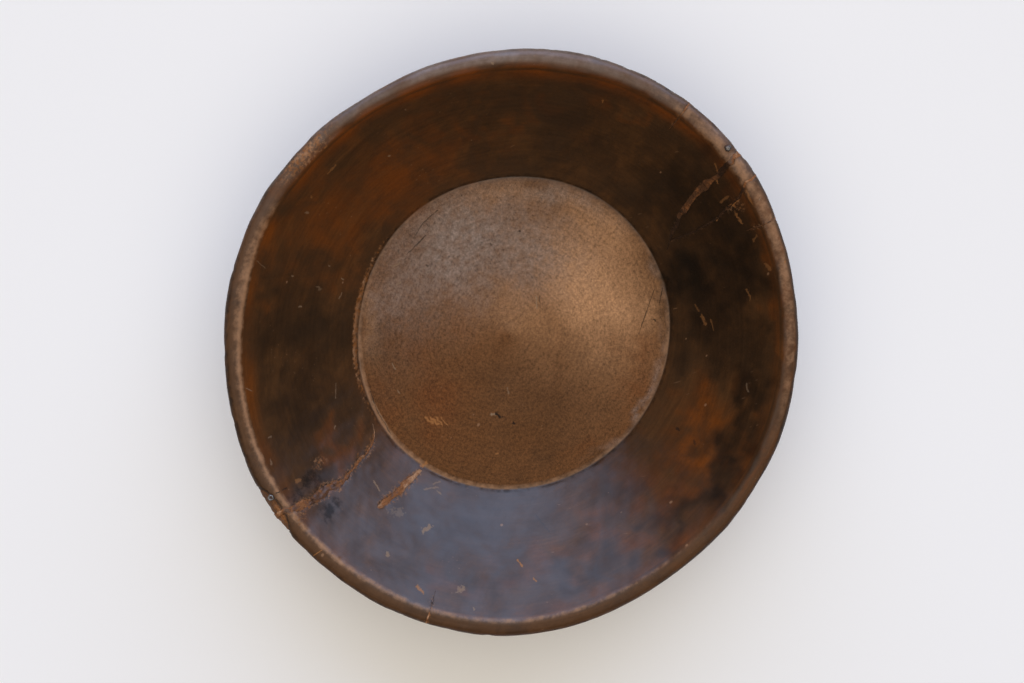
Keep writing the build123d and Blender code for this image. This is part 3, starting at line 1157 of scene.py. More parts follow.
        # The rim's outer rounding is darkened towards its edge, less where it faces the sky and more on the
        # right and left: painted shade.
        rim_edge_shade = 0.35 * (1 - 0.5 * sheen) + 0.35 * right + 0.15 * left
        orange = 1.45 * self.orange_edge.at(bearing) * hump(past_floor - 2.4 * MM, 1.7 * MM)
        amber = np.maximum(self.patches(self.amber, *loose), self.under_rim(skin, past_narrow))
        tones = {
            "floor": floor,
            "rim": on_rim,
            "gloss": gloss,
            "amber": inside * amber + (1 - inside) * 0.35 * np.clip(outside, 0, 1),
            # Dark patches, with painted shade on the right wall
            "soot_and_shade": inside * self.patches(self.soot_and_shade, *loose)
            + (1 - inside) * 0.30 * np.clip(1 - outside, 0, 1),
            "tan": floor * self.patches(self.tan, *gentle),
            # Grey bloom, with a painted sheen on the floor and the sky's painted reflection on the rim's top
            "haze_and_sheen": np.maximum(floor, on_rim) * self.patches(self.haze_and_sheen, *gentle),
            # Rubbed wood, with painted highlights along the rim's crest and top
            "rubbed_and_highlight": np.clip(self.rubbed_and_highlight(skin, top), 0, 1),
            "bare": np.clip(np.maximum(self.patches(self.bare_patches, *near), orange) * inside, 0, 1),
            "grime_and_shade": np.clip(grime_and_shade * inside + rim_edge_shade * outer_edge, 0, 1),
        }
        full = {name: np.broadcast_to(values, bearing.shape) for name, values in tones.items()}
        return full | self.marks.fields(points, np.broadcast_to(inside > 0.5, bearing.shape))


@dataclass(frozen=True)
class LensCut:
    """Where a lens-shaped cut meets the section: its inner edge, and the outer edge of its seat."""

    inner: Array
    start_run: Array
    start_height: Array
    seat_run: float
    seat_radius: float
    seat_height: float


@dataclass(frozen=True)
class RimPatch:
    """A lens of wood let into the outer half of the rim."""

    bearing: float = 156.9
    length: float = 46.0 * MM
    inset: float = 9.0 * MM
    depth: float = 11.0 * MM
    clearance: float = 0.12 * MM
    sunken: float = 0.30 * MM
    chipped: float = 0.30 * MM
    # How much of the notch's length the lens takes
    fill: float = 0.985
    columns: int = 56
    front_rows: int = 22
    back_rows: int = 8
    bright: Arc = Arc(158.6, 1.8)

    def half_turn(self, form: BowlForm) -> float:
        """Half the lens's length, as a bearing."""
        return float(np.degrees(np.arctan2(self.length / 2, form.rim_radius)))

    def cut(self, form: BowlForm, section: Section, bearing: Array, slack: float) -> LensCut:
        """Finds where the lens meets the section.

        Its inner edge is the inset times one less the cube of the way along, which meets the outside
        at both ends.

        Args:
            form: The bowl.
            section: Its rows.
            bearing: Where round the bowl.
            slack: How far the lens itself stands back from the notch.

        Returns:
            The cut at each bearing.
        """
        run = section.run
        on_top = (section.zone == Zone.RIM) & (section.height > form.height - form.rim_outer_round)
        on_top = np.nonzero(on_top)[0]
        outer = np.arange(on_top[-1], section.last)
        seat_height = form.height - self.depth + slack
        level = -section.height[outer]
        seat = (np.interp(-seat_height, level, part[outer]) for part in (run, section.radius))
        t = np.clip(turn_to(bearing, self.bearing) / self.half_turn(form), -1, 1)
        inner = form.rim_radius - self.inset * (1 - np.abs(t) ** 3) + slack
        start = (np.interp(inner, section.radius[on_top], part[on_top]) for part in (run, section.height))
        return LensCut(inner, *start, *seat, seat_height)

    def notch(self, form: BowlForm, section: Section, bearing: Array) -> tuple[Array, ...]:
        """Where the section's rows go once the notch is cut.

        The stretch of the section from the lens's inner edge to the level of the seat is laid
        along the notch instead: straight down, then straight out, in the same proportions.

        Args:
            form: The bowl.
            section: Its rows.
            bearing: Bearings, one line of them for each row.

        Returns:
            Radius, height and a mask of the points that moved.
        """
        shape = bearing.shape
        radius, height, here = (
            np.broadcast_to(part[:, None], shape) for part in (section.radius, section.height, section.run)
        )
        cut = self.cut(form, section, bearing, 0.0)
        in_lens = np.abs(turn_to(bearing, self.bearing)) < self.half_turn(form)
        moved = in_lens & (here > cut.start_run) & (here < cut.seat_run)
        down = cut.start_height - cut.seat_height
        way = (here - cut.start_run) / (cut.seat_run - cut.start_run) * (down + cut.seat_radius - cut.inner)
        new_radius = np.where(way < down, cut.inner, cut.inner + way - down)
        new_height = np.where(way < down, cut.start_height - way, cut.seat_height)
        return np.where(moved, new_radius, radius), np.where(moved, new_height, height), moved

    def build(self, form: BowlForm, section: Section) -> Piece:
        """Makes the lens: the rim's own outside in front, sunken and chipped, and the notch's faces behind.

        Args:
            form: The bowl.
            section: Its rows.

        Returns:
            The patch.
        """
        half = self.fill * self.half_turn(form)
        bearing = np.linspace(self.bearing - half, self.bearing + half, self.columns)[None, :]
        cut = self.cut(form, section, bearing, self.clearance)
        run = cut.start_run + np.linspace(0, 1, self.front_rows)[:, None] * (cut.seat_run - cut.start_run)
        parts = (section.radius, section.height, section.out_radial, section.out_up)
        radius, height, out_radial, out_up = (np.interp(run, section.run, part) for part in parts)
        points = form.spot(radius, height, bearing)
        sink = self.sunken * (1 + 0.5 * waves(points, 6 * MM, 31))
        sink = sink + self.chipped * np.clip(waves(points, 4 * MM, 32), 0, 2)
        radius, height = radius - sink * out_radial, height - sink * out_up
        t = np.linspace(0, 1, self.back_rows)[:, None]
        seat = (radius[-1] - t * (radius[-1] - cut.inner))[1:]
        rise = cut.seat_height + t[1:-1] * (height[0] - cut.seat_height)
        radius = np.concatenate([radius, seat, np.broadcast_to(cut.inner, rise.shape)])
        height = np.concatenate([height, np.full_like(seat, cut.seat_height), rise])
        points = form.spot(radius, height, bearing)
        index = numbered(points)
        faces = [grid_quads(index.T, closed=True), index[None, :, 0], index[None, :, -1]]
        edge = hump(run - cut.start_run, 1.4 * MM) + hump(turn_to(bearing, self.bearing - half), 0.5)
        grime_and_shade = np.zeros_like(radius)
        grime_and_shade[: self.front_rows] = np.clip(edge, 0, 1)
        shade = np.broadcast_to(np.clip(0.35 + 0.65 * self.bright.at(bearing), 0, 1), radius.shape)
        return make_piece("rim_patch_lens", points.reshape(-1, 3), faces, {"grime_and_shade": grime_and_shade, "shade": shade})


@dataclass(frozen=True)
class BowlBody:
    """The turned bowl with its splits open and the patch's notch cut."""

    form: BowlForm
    relief: WoodRelief
    patina: Patina
    gaps: list[Gap]
    patch: RimPatch
    wide_spacing: float = 0.80
    narrow_spacing: float = 0.42
    wide_span: float = 60.0
    crowding: float = 0.35
    lip_drop: float = 0.22 * MM
    lip_width: float = 1.3 * MM
    lip_rows: int = 4

    def columns(self) -> Pair:
        """The bearing of each column on each row.

        Columns run evenly, closer towards the ends, from the high edge of each opening to the low
        edge of the next, so every opening lies between two columns.

        Returns:
            The bearings, and the number of the column at each opening's low edge.
        """
        blocks = []
        for gap, after in zip(self.gaps, self.gaps[1:] + self.gaps[:1]):
            end = after.low + (FULL_TURN if after is self.gaps[0] else 0)
            span = float(np.mean(end - gap.high))
            spacing = self.wide_spacing if span > self.wide_span else self.narrow_spacing
            t = np.linspace(0, 1, int(span / spacing) + 2)
            t = t - self.crowding * np.sin(2 * np.pi * t) / (2 * np.pi)
            blocks.append(gap.high[:, None] + t * (end - gap.high)[:, None])
        ends = np.cumsum([block.shape[1] for block in blocks])
        return np.concatenate(blocks, axis=1), np.concatenate([[ends[-1]], ends[:-1]]) - 1

    def lips(self, bearing: Array) -> tuple[Array, Array, Array]:
        """How the wood is broken down along the openings, falling off with distance from them.

        Args:
            bearing: The bearing of each column on each row.

        Returns:
            The drop of the surface, the bareness and the grime.
        """
        section = self.relief.section
        drop, bare, grime_and_shade = np.zeros((3, *bearing.shape))
        row = np.arange(len(section.radius))
        row = np.where(row > section.middle, section.facing(row), row)
        for gap in self.gaps:
            past_start, past_stop = (row - gap.start) / self.lip_rows, (gap.stop - row) / self.lip_rows
            active = np.minimum(past_start, 1) * (1.0 if gap.to_rim else np.minimum(past_stop, 1))
            active = (np.clip(active, 0, 1) * (past_start >= 0) * (past_stop >= 0))[:, None]
            turn = np.maximum(turn_to(gap.low[:, None], bearing), turn_to(bearing, gap.high[:, None]))
            away = np.radians(np.clip(turn, 0, None)) * section.radius[:, None] / self.lip_width
            drop = np.maximum(drop, active * np.exp(-away))
            bare = np.maximum(bare, gap.bareness * active * np.exp(-away / 1.6))
            grime_and_shade = np.maximum(grime_and_shade, 0.9 * gap.bareness * active * np.exp(-away / 0.7))
        return drop, bare, grime_and_shade

    def faces(self, index: Array, low_columns: Array) -> Array:
        """The quads of the skin, left out over the openings, and the openings' own walls.

        Args:
            index: The vertex number at each row and column.
            low_columns: The column at each opening's low edge.

        Returns:
            The quads.
        """
        section = self.relief.section
        rows, columns = index.shape
        keep = np.ones((rows - 1, columns), bool)
        walls = []
        for gap, low in zip(self.gaps, low_columns):
            high = (low + 1) % columns
            inner, outer = gap.rows, section.facing(gap.rows)
            keep[inner[:-1], low] = False
            keep[outer[1:], low] = False
            if gap.to_rim:
                keep[inner[-1] : outer[-1], low] = False
            for column in (low, high):
                walls.append(grid_quads(np.stack([index[inner, column], index[outer, column]])))
            for end in inner[:1] if gap.to_rim else inner[[0, -1]]:
                back = section.facing(end)
                walls.append(index[[[end, end, back, back]], [[low, high, high, low]]])
        return np.concatenate([grid_quads(index, closed=True)[keep.ravel()], *walls])

    def build(self) -> Piece:
        """Makes the bowl's body as one closed grid of rows and columns.

        Returns:
            The body.
        """
        section = self.relief.section
        bearing, low_columns = self.columns()
        rows = np.arange(len(section.radius))
        drop, bare, grime_and_shade = self.lips(bearing)
        ragged = 0.75 + 0.35 * waves(Skin.of(self.form, section, rows, bearing).points(), 5 * MM, 41)
        lift = self.relief.lift(rows, bearing) - self.lip_drop * drop * ragged
        radius, height, moved = self.patch.notch(self.form, section, bearing)
        lift = np.where(moved, 0.0, lift)
        radius = radius + lift * section.out_radial[:, None]
        height = np.maximum(height + lift * section.out_up[:, None], 0)
        grid = self.form.spot(radius, height, bearing)
        points = np.concatenate([grid.reshape(-1, 3), [self.form.floor_thickness * UP, 0 * UP]])
        index = numbered(grid)
        fields = self.patina.fields(rows, bearing)
        fields["bare"] = np.maximum(fields["bare"], bare)
        fields["grime_and_shade"] = np.maximum(fields["grime_and_shade"], np.maximum(grime_and_shade, 0.8 * moved))
        full = {
            name: np.concatenate([values.reshape(-1, *values.shape[2:]), values[[0, -1]].mean(axis=1)])
            for name, values in fields.items()
        }
        return make_piece("turned_bowl", points, [self.faces(index, low_columns), end_fans(index)], full)


@dataclass(frozen=True)
class WallInsert:
    """A piece that fills an opening in the wall."""

    relief: WoodRelief
    gap: Gap
    across: int
    sunken: float
    crumble: float
    seed: int

    def grid(self) -> tuple[Array, Array, Array]:
        """Lays rows up the inside, over the rim and down the outside, and columns across them.

        Returns:
            The rows, the bearings on each, and the shares of the way across.
        """
        rows = np.concatenate([self.gap.rows, self.relief.section.facing(self.gap.rows)[::-1]])
        across = np.linspace(0, 1, self.across)
        low, high = self.gap.low[rows][:, None], self.gap.high[rows][:, None]
        return rows, low + across * (high - low), np.broadcast_to(across, (len(rows), self.across))

    def width(self, rows: Array) -> Array:
        """How wide the opening is on each row."""
        return (np.radians(self.gap.high - self.gap.low) * self.relief.section.radius)[rows][:, None]

    def flat(self, rows: Array, bearing: Array) -> Array:
        """The turned surface, with no wear."""
        return self.relief.surface(rows, bearing, np.zeros_like(bearing))

    def faces(self, index: Array) -> list[Array]:
        """The skin on both sides of the wall, the two sides that face the wood, and the ends.

        Args:
            index: The vertex number at each row and column.

        Returns:
            Arrays of faces.
        """
        half = len(index) // 2
        facing = index[::-1][:half]
        skins = [index] if self.gap.to_rim else [index[:half], index[half:]]
        sides = [np.stack([index[:half, column], facing[:, column]]) for column in (0, -1)]
        ends = [np.stack([index[end], facing[end]]) for end in ([0] if self.gap.to_rim else [0, half - 1])]
        return [grid_quads(part) for part in skins + sides + ends]

    def mesh(self, name: str, fields: dict[str, Array]) -> Piece:
        """Makes the closed piece.

        Its surface is the worn wood's own, sunken towards both edges and crumbled by two random
        fields.

        Args:
            name: Its name.
            fields: Numbers for each row and column, for its finish.

        Returns:
            The piece.
        """
        rows, bearing, across = self.grid()
        crumbs = ruffle(self.flat(rows, bearing), ((0.7, 5 * MM, self.seed), (0.5, 2.4 * MM, self.seed + 1)))
        edge = 1 - smooth_step(0.0, 0.25, np.minimum(across, 1 - across))
        on_rim = self.relief.section.zone[rows][:, None] == Zone.RIM
        sunken = self.sunken * (0.6 + 0.8 * edge) * np.where(on_rim, 0.6, 1.0)
        lift = self.relief.lift(rows, bearing) - sunken + self.crumble * crumbs
        points = self.relief.surface(rows, bearing, lift)
        return make_piece(name, points.reshape(-1, 3), self.faces(numbered(points)), fields)


@dataclass(frozen=True)
class Filling(WallInsert):
    """The putty in one split.

    Its tones are shares of the way from floor to rim, with how pale and how soiled it is there. Its rib
    is how much paler the line is where it has pulled away from its low edge.
    """

    node: str
    tones: Rows
    rib: float

    def build(self) -> Piece:
        """Makes the filling, darker towards its edges and mottled along its length.

        Returns:
            The filling.
        """
        rows, bearing, across = self.grid()
        flat, width, seed = self.flat(rows, bearing), self.width(rows), self.seed
        share, *tones = np.array(self.tones).T
        shade, soil = (np.interp(self.relief.section.share[rows], share, tone)[:, None] for tone in tones)
        edge = 1 - smooth_step(0.0, 0.8 * MM, np.minimum(across, 1 - across) * width)
        mottle = ruffle(flat, ((0.12, 14 * MM, seed + 2), (0.10, 4 * MM, seed + 3)))
        rib = self.rib * hump(across * width - 0.9 * MM, 0.7 * MM)
        rib = rib * (0.7 + 0.4 * waves(flat, 17 * MM, seed + 5))
        grime_and_shade = np.clip(soil + 0.30 * edge + 0.20 * waves(flat, 6 * MM, seed + 4), 0, 1)
        return self.mesh(f"putty_{self.node}", {"shade": np.clip(shade + mottle + rib, 0, 1), "grime_and_shade": grime_and_shade})


@dataclass(frozen=True)
class Fragment(WallInsert):
    """The splinter of rim and wall that was glued back."""

    patina: Patina

    def build(self) -> Piece:
        """Makes the fragment, with the bowl's own tones and bare wood along its edges.

        Returns:
            The fragment.
        """
        rows, bearing, across = self.grid()
        away = np.minimum(across, 1 - across) * self.width(rows)
        fields = self.patina.fields(rows, bearing)
        fields["bare"] = np.maximum(fields["bare"], 0.05 * np.exp(-away / (1.8 * MM)))
        fields["grime_and_shade"] = np.maximum(fields["grime_and_shade"], 0.4 * np.exp(-away / (0.8 * MM)))
        return self.mesh("glued_fragment", fields)


@dataclass(frozen=True)
class RimNails:
    """Two hand-made nails in the rim: a dished head on a tapered square shank."""

    form: BowlForm
    # Bearing, distance in from the rim's outside, how deep the head is dished, and where it is rubbed bright
    # with a painted glint
    places: Rows = ((154.4, 6.2 * MM, 0.75 * MM, 0.68), (-14.7, 5.4 * MM, -0.25 * MM, 0.30))
    head_radius: float = 2.6 * MM
    head_height: float = 1.6 * MM
    head_sink: float = 0.7 * MM
    shank_radius: float = 1.2 * MM
    tip_radius: float = 0.5 * MM
    length: float = 19.0 * MM
    around: int = 40

    @property
    def lean(self) -> float:
        """The shank's lean from upright: half that of the wall."""
        base_radius = self.form.corners()["base_edge"][0]
        return float(np.arctan2(self.form.rim_radius - base_radius, self.form.height)) / 2

    def profile(self, dish: float) -> Array:
        """Lays out the rings, from the middle of the head to the tip.

        Args:
            dish: How deep the head is dished.

        Returns:
            Radius, depth and squareness of each.
        """
        head, top = self.head_radius, self.head_height
        shank, tip, end = self.shank_radius, self.tip_radius, -self.length
        rings = (
            (0.10 * head, top - dish, 0.0), (0.30 * head, top - 0.95 * dish, 0.0),
            (0.42 * head, top - 0.6 * dish, 0.0), (0.55 * head, top, 0.0), (0.68 * head, top, 0.0),
            (0.80 * head, top - 0.12 * top, 0.0), (0.93 * head, 0.50 * top, 0.0), (head, 0.22 * top, 0.0),
            (0.98 * head, 0.02 * top, 0.0), (1.05 * shank, -0.02 * top, 0.6), (shank, 0.12 * end, 1.0),
            (0.8 * shank, 0.5 * end, 1.0), (tip, 0.98 * end, 1.0), (0.2 * tip, end, 1.0),
        )
        return np.array(rings)

    def nail(self, number: int, start: int) -> tuple[Array, list[Array], Array]:
        """Makes one nail.

        Rings of the profile turn about the nail's line, which is upright in the head and leans in
        along the wall below it. The head's rings wander a little, and the shank's are squared by
        the fourth harmonic.

        Args:
            number: Which nail.
            start: The number of its first vertex.

        Returns:
            Its points, its faces and how bright each point is.
        """
        bearing, inset, dish, rubbed_and_highlight = self.places[number]
        rings = self.profile(dish)
        radius, depth, square = (column[:, None] for column in rings.T)
        turn = np.linspace(0, 2 * np.pi, self.around, endpoint=False)
        wander = 0.06 * np.cos(3 * turn + number) + 0.04 * np.cos(5 * turn + 2 + number)
        radius = radius * (1 + (1 - square) * wander + 0.12 * square * np.cos(4 * turn))
        head = (self.form.rim_radius - inset, self.form.height - self.head_sink, bearing)
        out, side = level_way(bearing), level_way(bearing + 90.0)
        slide = np.minimum(depth, 0) * np.tan(self.lean)
        tilt = 0.10 * radius * np.cos(turn + number) * (depth > 0)
        points = self.form.spot(*map(np.array, head)) + (radius * np.cos(turn) + slide)[..., None] * out
        points = points + (radius * np.sin(turn))[..., None] * side + (depth + tilt)[..., None] * UP
        # The bright ring or middle of each head is rubbed iron with a painted glint
        bright = 0.8 * hump(rings[:, 0] / self.head_radius - rubbed_and_highlight, 0.25)
        bright = bright * (rings[:, 1] > 0.4 * self.head_height)
        bright = np.concatenate([np.repeat(bright, self.around), [0.0, 0.0]])
        return *closed_rings(points, points[[0, -1]].mean(axis=1), start), bright

    def build(self) -> Piece:
        """Makes both nails.

        Returns:
            The nails, as one piece of two solids.
        """
        first, first_faces, first_bright = self.nail(0, 0)
        second, second_faces, second_bright = self.nail(1, len(first))
        points, bright = np.concatenate([first, second]), np.concatenate([first_bright, second_bright])
        return make_piece("hand_made_nails", points, first_faces + second_faces, {"bright": bright})


@dataclass(frozen=True)
class CrackStaple:
    """A wire staple across the left split, its crown outside and its two tips standing inside."""

    form: BowlForm
    bearing: float = 161.1
    wall_share: float = 0.75
    span: float = 28.4 * MM
    wire_radius: float = 1.3 * MM
    bend_radius: float = 4.0 * MM
    tip_height: float = 1.1 * MM
    tip_taper: float = 0.62
    tip_crown: float = 0.25 * MM
    around: int = 20
    steps: int = 200

    def line(self) -> Pair:
        """The wire's middle line and the way square to the staple's plane.

        Two legs and a crown are joined by quarter circles, in the plane that holds the way in
        through the wall and the way round it.

        Returns:
            The points of the line, and the unit way square to its plane.
        """
        at = self.form.corners()
        t = np.linspace(0, 1, self.steps + 1)
        inner = bowed_line(at["floor_edge"], at["rim_inner"], self.form.wall_bow, t)
        outer = bowed_line(at["base_edge"], at["rim_under"], self.form.wall_bow, t)
        middle = int(self.wall_share * self.steps)
        here, slope = inner[middle], unit(np.gradient(inner, axis=0)[middle])
        wall = np.linalg.norm(outer - here, axis=1).min()
        drawn_in = np.array([1.0, self.form.oval, 0.0])
        radial = drawn_in * level_way(self.bearing)
        inward = unit(slope[0] * UP - slope[1] * radial)
        sideways = unit(drawn_in * level_way(self.bearing + 90.0))
        half, bend = self.span / 2, self.bend_radius
        leg = np.stack([np.full(9, -half), np.linspace(self.tip_height, bend - wall, 9)], -1)
        quarter = np.radians(np.linspace(0, 90, 9))[1:]
        corner = np.stack([bend - half - bend * np.cos(quarter), bend - wall - bend * np.sin(quarter)], -1)
        path = np.concatenate([leg, corner])
        path = np.concatenate([path, (path * [-1, 1])[::-1]])
        origin = here[0] * radial + here[1] * UP
        return origin + path[:, :1] * sideways + path[:, 1:] * inward, np.cross(sideways, inward)

    def build(self) -> Piece:
        """Makes the staple: a circle carried along its line, drawn in over the two peened tips.

        Returns:
            The staple.
        """
        line, square = self.line()
        ahead = unit(np.gradient(line, axis=0))
        turn = np.linspace(0, 2 * np.pi, self.around, endpoint=False)[:, None]
        radius = self.wire_radius * (1 + 0.06 * along_line(np.arange(len(line)) * 1.5 * MM, 8 * MM, 51))
        radius[[0, -1]] *= self.tip_taper
        ring = np.cos(turn) * np.cross(square, ahead)[:, None, :] + np.sin(turn) * square
        points = line[:, None, :] + radius[:, None, None] * ring
        crowns = line[[0, -1]] + self.tip_crown * ahead[[0, -1]] * [[-1], [1]]
        bright = np.zeros(len(line))
        bright[[0, -1]] = 1
        bright = np.concatenate([np.repeat(bright, self.around), [1.0, 1.0]])
        return make_piece("wire_staple", *closed_rings(points, crowns), {"bright": bright})


class NodeDesk:
    """Adds nodes to one node tree and joins them."""

    def __init__(self, tree: Tree) -> None:
        """Starts work on a tree."""
        self.tree = tree

    def feed(self, socket: Socket, value: object) -> None:
        """Joins another node's output to a socket, or sets the socket to a plain value.

        Args:
            socket: The input.
            value: An output, a number, a vector or a colour.
        """
        if isinstance(value, Socket):
            self.tree.links.new(value, socket)
        else:
            socket.default_value = (*value, 1.0) if socket.type == "RGBA" else value

    def add(self, kind: str, inputs: dict, **settings: object) -> bpy.types.Node:
        """Adds a node.

        Args:
            kind: Its type.
            inputs: What its inputs take, by name or number.
            settings: Its properties.

        Returns:
            The node.
        """
        made = self.tree.nodes.new(kind)
        for name, value in settings.items():
            setattr(made, name, value)
        for key, value in inputs.items():
            self.feed(made.inputs[key], value)
        return made

    def math(self, operation: str, *values: object, clamp: bool = False) -> Socket:
        """One step of arithmetic."""
        made = self.add("ShaderNodeMath", dict(enumerate(values)), operation=operation, use_clamp=clamp)
        return made.outputs[0]

    def times(self, first: object, second: object) -> Socket:
        """The product of two numbers."""
        return self.math("MULTIPLY", first, second)

    def plus(self, first: object, second: object, clamp: bool = False) -> Socket:
        """The sum of two numbers."""
        return self.math("ADD", first, second, clamp=clamp)

    def less(self, first: object, second: object) -> Socket:
        """The first number less the second."""
        return self.math("SUBTRACT", first, second)

    def most(self, first: object, second: object) -> Socket:
        """The larger of two numbers."""
        return self.math("MAXIMUM", first, second)

    def vector(self, operation: str, *values: object) -> Socket:
        """One step of vector arithmetic."""
        made = self.add("ShaderNodeVectorMath", dict(enumerate(values)), operation=operation)
        return made.outputs["Value" if operation in ("DOT_PRODUCT", "LENGTH") else "Vector"]

    def joined(self, x: object, y: object, z: object) -> Socket:
        """A vector from its three parts."""
        return self.add("ShaderNodeCombineXYZ", {0: x, 1: y, 2: z}).outputs[0]

    def parts(self, vector: Socket) -> list[Socket]:
        """A vector's three parts."""
        return list(self.add("ShaderNodeSeparateXYZ", {0: vector}).outputs)

    def ramp(self, value: object, low: object, high: object, start: float = 0.0, end: float = 1.0) -> Socket:
        """A smooth change from start to end as a value goes from low to high."""
        inputs = dict(enumerate((value, low, high, start, end)))
        return self.add("ShaderNodeMapRange", inputs, interpolation_type="SMOOTHSTEP").outputs[0]

    def between(self, mask: object, start: float, end: float) -> Socket:
        """A smooth change from start to end as a mask goes from 0 to 1."""
        return self.ramp(mask, 0.0, 1.0, start, end)

    def mix(self, factor: object, first: object, second: object, way: str = "MIX") -> Socket:
        """A mix of two colours."""
        inputs = {0: factor, 6: first, 7: second}
        return self.add("ShaderNodeMix", inputs, data_type="RGBA", blend_type=way).outputs[2]

    def noise(self, place: object, scale: object, detail: float, rough: float, twist: float = 0.0) -> Socket:
        """Fractal noise from about 0 to 1."""
        inputs = {"Vector": place, "Scale": scale, "Detail": detail, "Roughness": rough, "Distortion": twist}
        return self.add("ShaderNodeTexNoise", inputs).outputs[0]


class EffectDesk(NodeDesk):
    """Makes one shared effect: a node group with named inputs, and plain numbers as outputs."""

    def __init__(self, name: str, vectors: tuple, numbers: tuple, outputs: tuple) -> None:
        """Starts the group.

        Args:
            name: Its name.
            vectors: The names of the inputs that are vectors.
            numbers: The names of the inputs that are numbers.
            outputs: The names of its outputs.
        """
        super().__init__(bpy.data.node_groups.new(name, "ShaderNodeTree"))
        sockets = [(part, "INPUT", "NodeSocketVector") for part in vectors]
        sockets += [(part, "INPUT", "NodeSocketFloat") for part in numbers]
        sockets += [(part, "OUTPUT", "NodeSocketFloat") for part in outputs]
        for part, way, kind in sockets:
            self.tree.interface.new_socket(name=part, in_out=way, socket_type=kind)
        start = self.add("NodeGroupInput", {})
        self.given = [start.outputs[part] for part in vectors + numbers]
        self.end = self.add("NodeGroupOutput", {})

    def put(self, **outputs: Socket) -> Tree:
        """Joins the outputs.

        Args:
            outputs: What each output shows, by its name.

        Returns:
            The finished group.
        """
        for name, value in outputs.items():
            self.feed(self.end.inputs[name], value)
        return self.tree

    def drawn_out(self, place: Socket, stretch: Socket) -> Socket:
        """A place with its first part divided by a stretch."""
        return self.vector("MULTIPLY", place, self.joined(self.math("DIVIDE", 1.0, stretch), 1.0, 1.0))


class Effects:
    """The shared effects that the finishes are made from."""

    def __init__(self) -> None:
        """Builds each effect once."""
        self.grain = self.make_grain()
        self.rings = self.make_rings()
        self.flecks = self.make_flecks()
        self.wear = self.make_wear()
        self.mark = self.make_mark()

    @staticmethod
    def make_grain() -> Tree:
        """Wood grain along X: noise drawn out by Stretch, as broad streaks and as fine fibres.

        Returns:
            The group.
        """
        desk = EffectDesk("wood_grain", ("Place",), ("Scale", "Stretch"), ("Streak", "Fibre"))
        place, scale, stretch = desk.given
        place = desk.drawn_out(place, stretch)
        streak = desk.noise(place, scale, 5.0, 0.6, 0.4)
        fibre = desk.noise(place, desk.times(scale, 6.0), 3.0, 0.65)
        return desk.put(Streak=desk.ramp(streak, 0.32, 0.68), Fibre=desk.ramp(fibre, 0.30, 0.70))

    @staticmethod
    def make_rings() -> Tree:
        """Faint tool rings round the axis: noise by distance from it and height, set astray by Stray.

        Returns:
            The group.
        """
        desk = EffectDesk("tool_rings", ("Place",), ("Stray", "Scale"), ("Stripe",))
        place, stray, scale = desk.given
        out = desk.vector("LENGTH", desk.vector("MULTIPLY", place, (1.0, 1.04, 0.0)))
        ring = desk.joined(out, desk.parts(place)[2], desk.times(stray, 0.016))
        return desk.put(Stripe=desk.ramp(desk.noise(ring, scale, 2.0, 0.6), 0.25, 0.75, -0.12, 0.12))

    @staticmethod
    def make_flecks() -> Tree:
        """Scattered dashes: the middles of drawn-out cells, where a cell's own number is under Share.

        Returns:
            The group.
        """
        desk = EffectDesk("flecks", ("Place", "Turn"), ("Stretch", "Scale", "Size", "Share"), ("Mask",))
        place, turn, stretch, scale, size, share = desk.given
        way = {"Vector": place, "Rotation": turn}
        turned = desk.add("ShaderNodeVectorRotate", way, rotation_type="EULER_XYZ").outputs[0]
        cells = {"Vector": desk.drawn_out(turned, stretch), "Scale": scale}
        cells = desk.add("ShaderNodeTexVoronoi", cells).outputs
        chance = desk.add("ShaderNodeSeparateColor", {0: cells["Color"]}).outputs
        size = desk.times(size, desk.plus(0.4, chance[1]))
        spot = desk.ramp(cells["Distance"], desk.times(size, 0.45), size, 1.0, 0.0)
        return desk.put(Mask=desk.times(spot, desk.math("LESS_THAN", chance[0], share)))

    @staticmethod
    def make_wear() -> Tree:
        """Breaks a soft wear value up with noise, so that it shows where the noise lets it through.

        Returns:
            The group.
        """
        desk = EffectDesk("broken_wear", (), ("Noise", "Wear", "Softness"), ("Mask",))
        noise, wear, softness = desk.given
        reach = desk.less(1.0, wear)
        low, high = desk.less(reach, softness), desk.plus(reach, softness)
        shown = desk.ramp(desk.ramp(noise, 0.25, 0.75), low, high)
        return desk.put(Mask=desk.times(shown, desk.ramp(wear, 0.02, 0.2)))

    @staticmethod
    def make_mark() -> Tree:
        """A layer of marks from their coordinates: 1 near a mark's line, falling off over a rough edge.

        Returns:
            The group.
        """
        desk = EffectDesk("mark", ("Local",), ("Strength", "Rough"), ("Mask",))
        local, strength, rough = desk.given
        along, across, half = desk.parts(local)
        past = desk.most(desk.less(desk.math("ABSOLUTE", along), half), 0.0)
        away = desk.math("SQRT", desk.plus(desk.times(past, past), desk.times(across, across)))
        shown = desk.ramp(desk.math("DIVIDE", away, rough), 0.3, 1.0, 1.0, 0.0)
        return desk.put(Mask=desk.times(shown, strength))


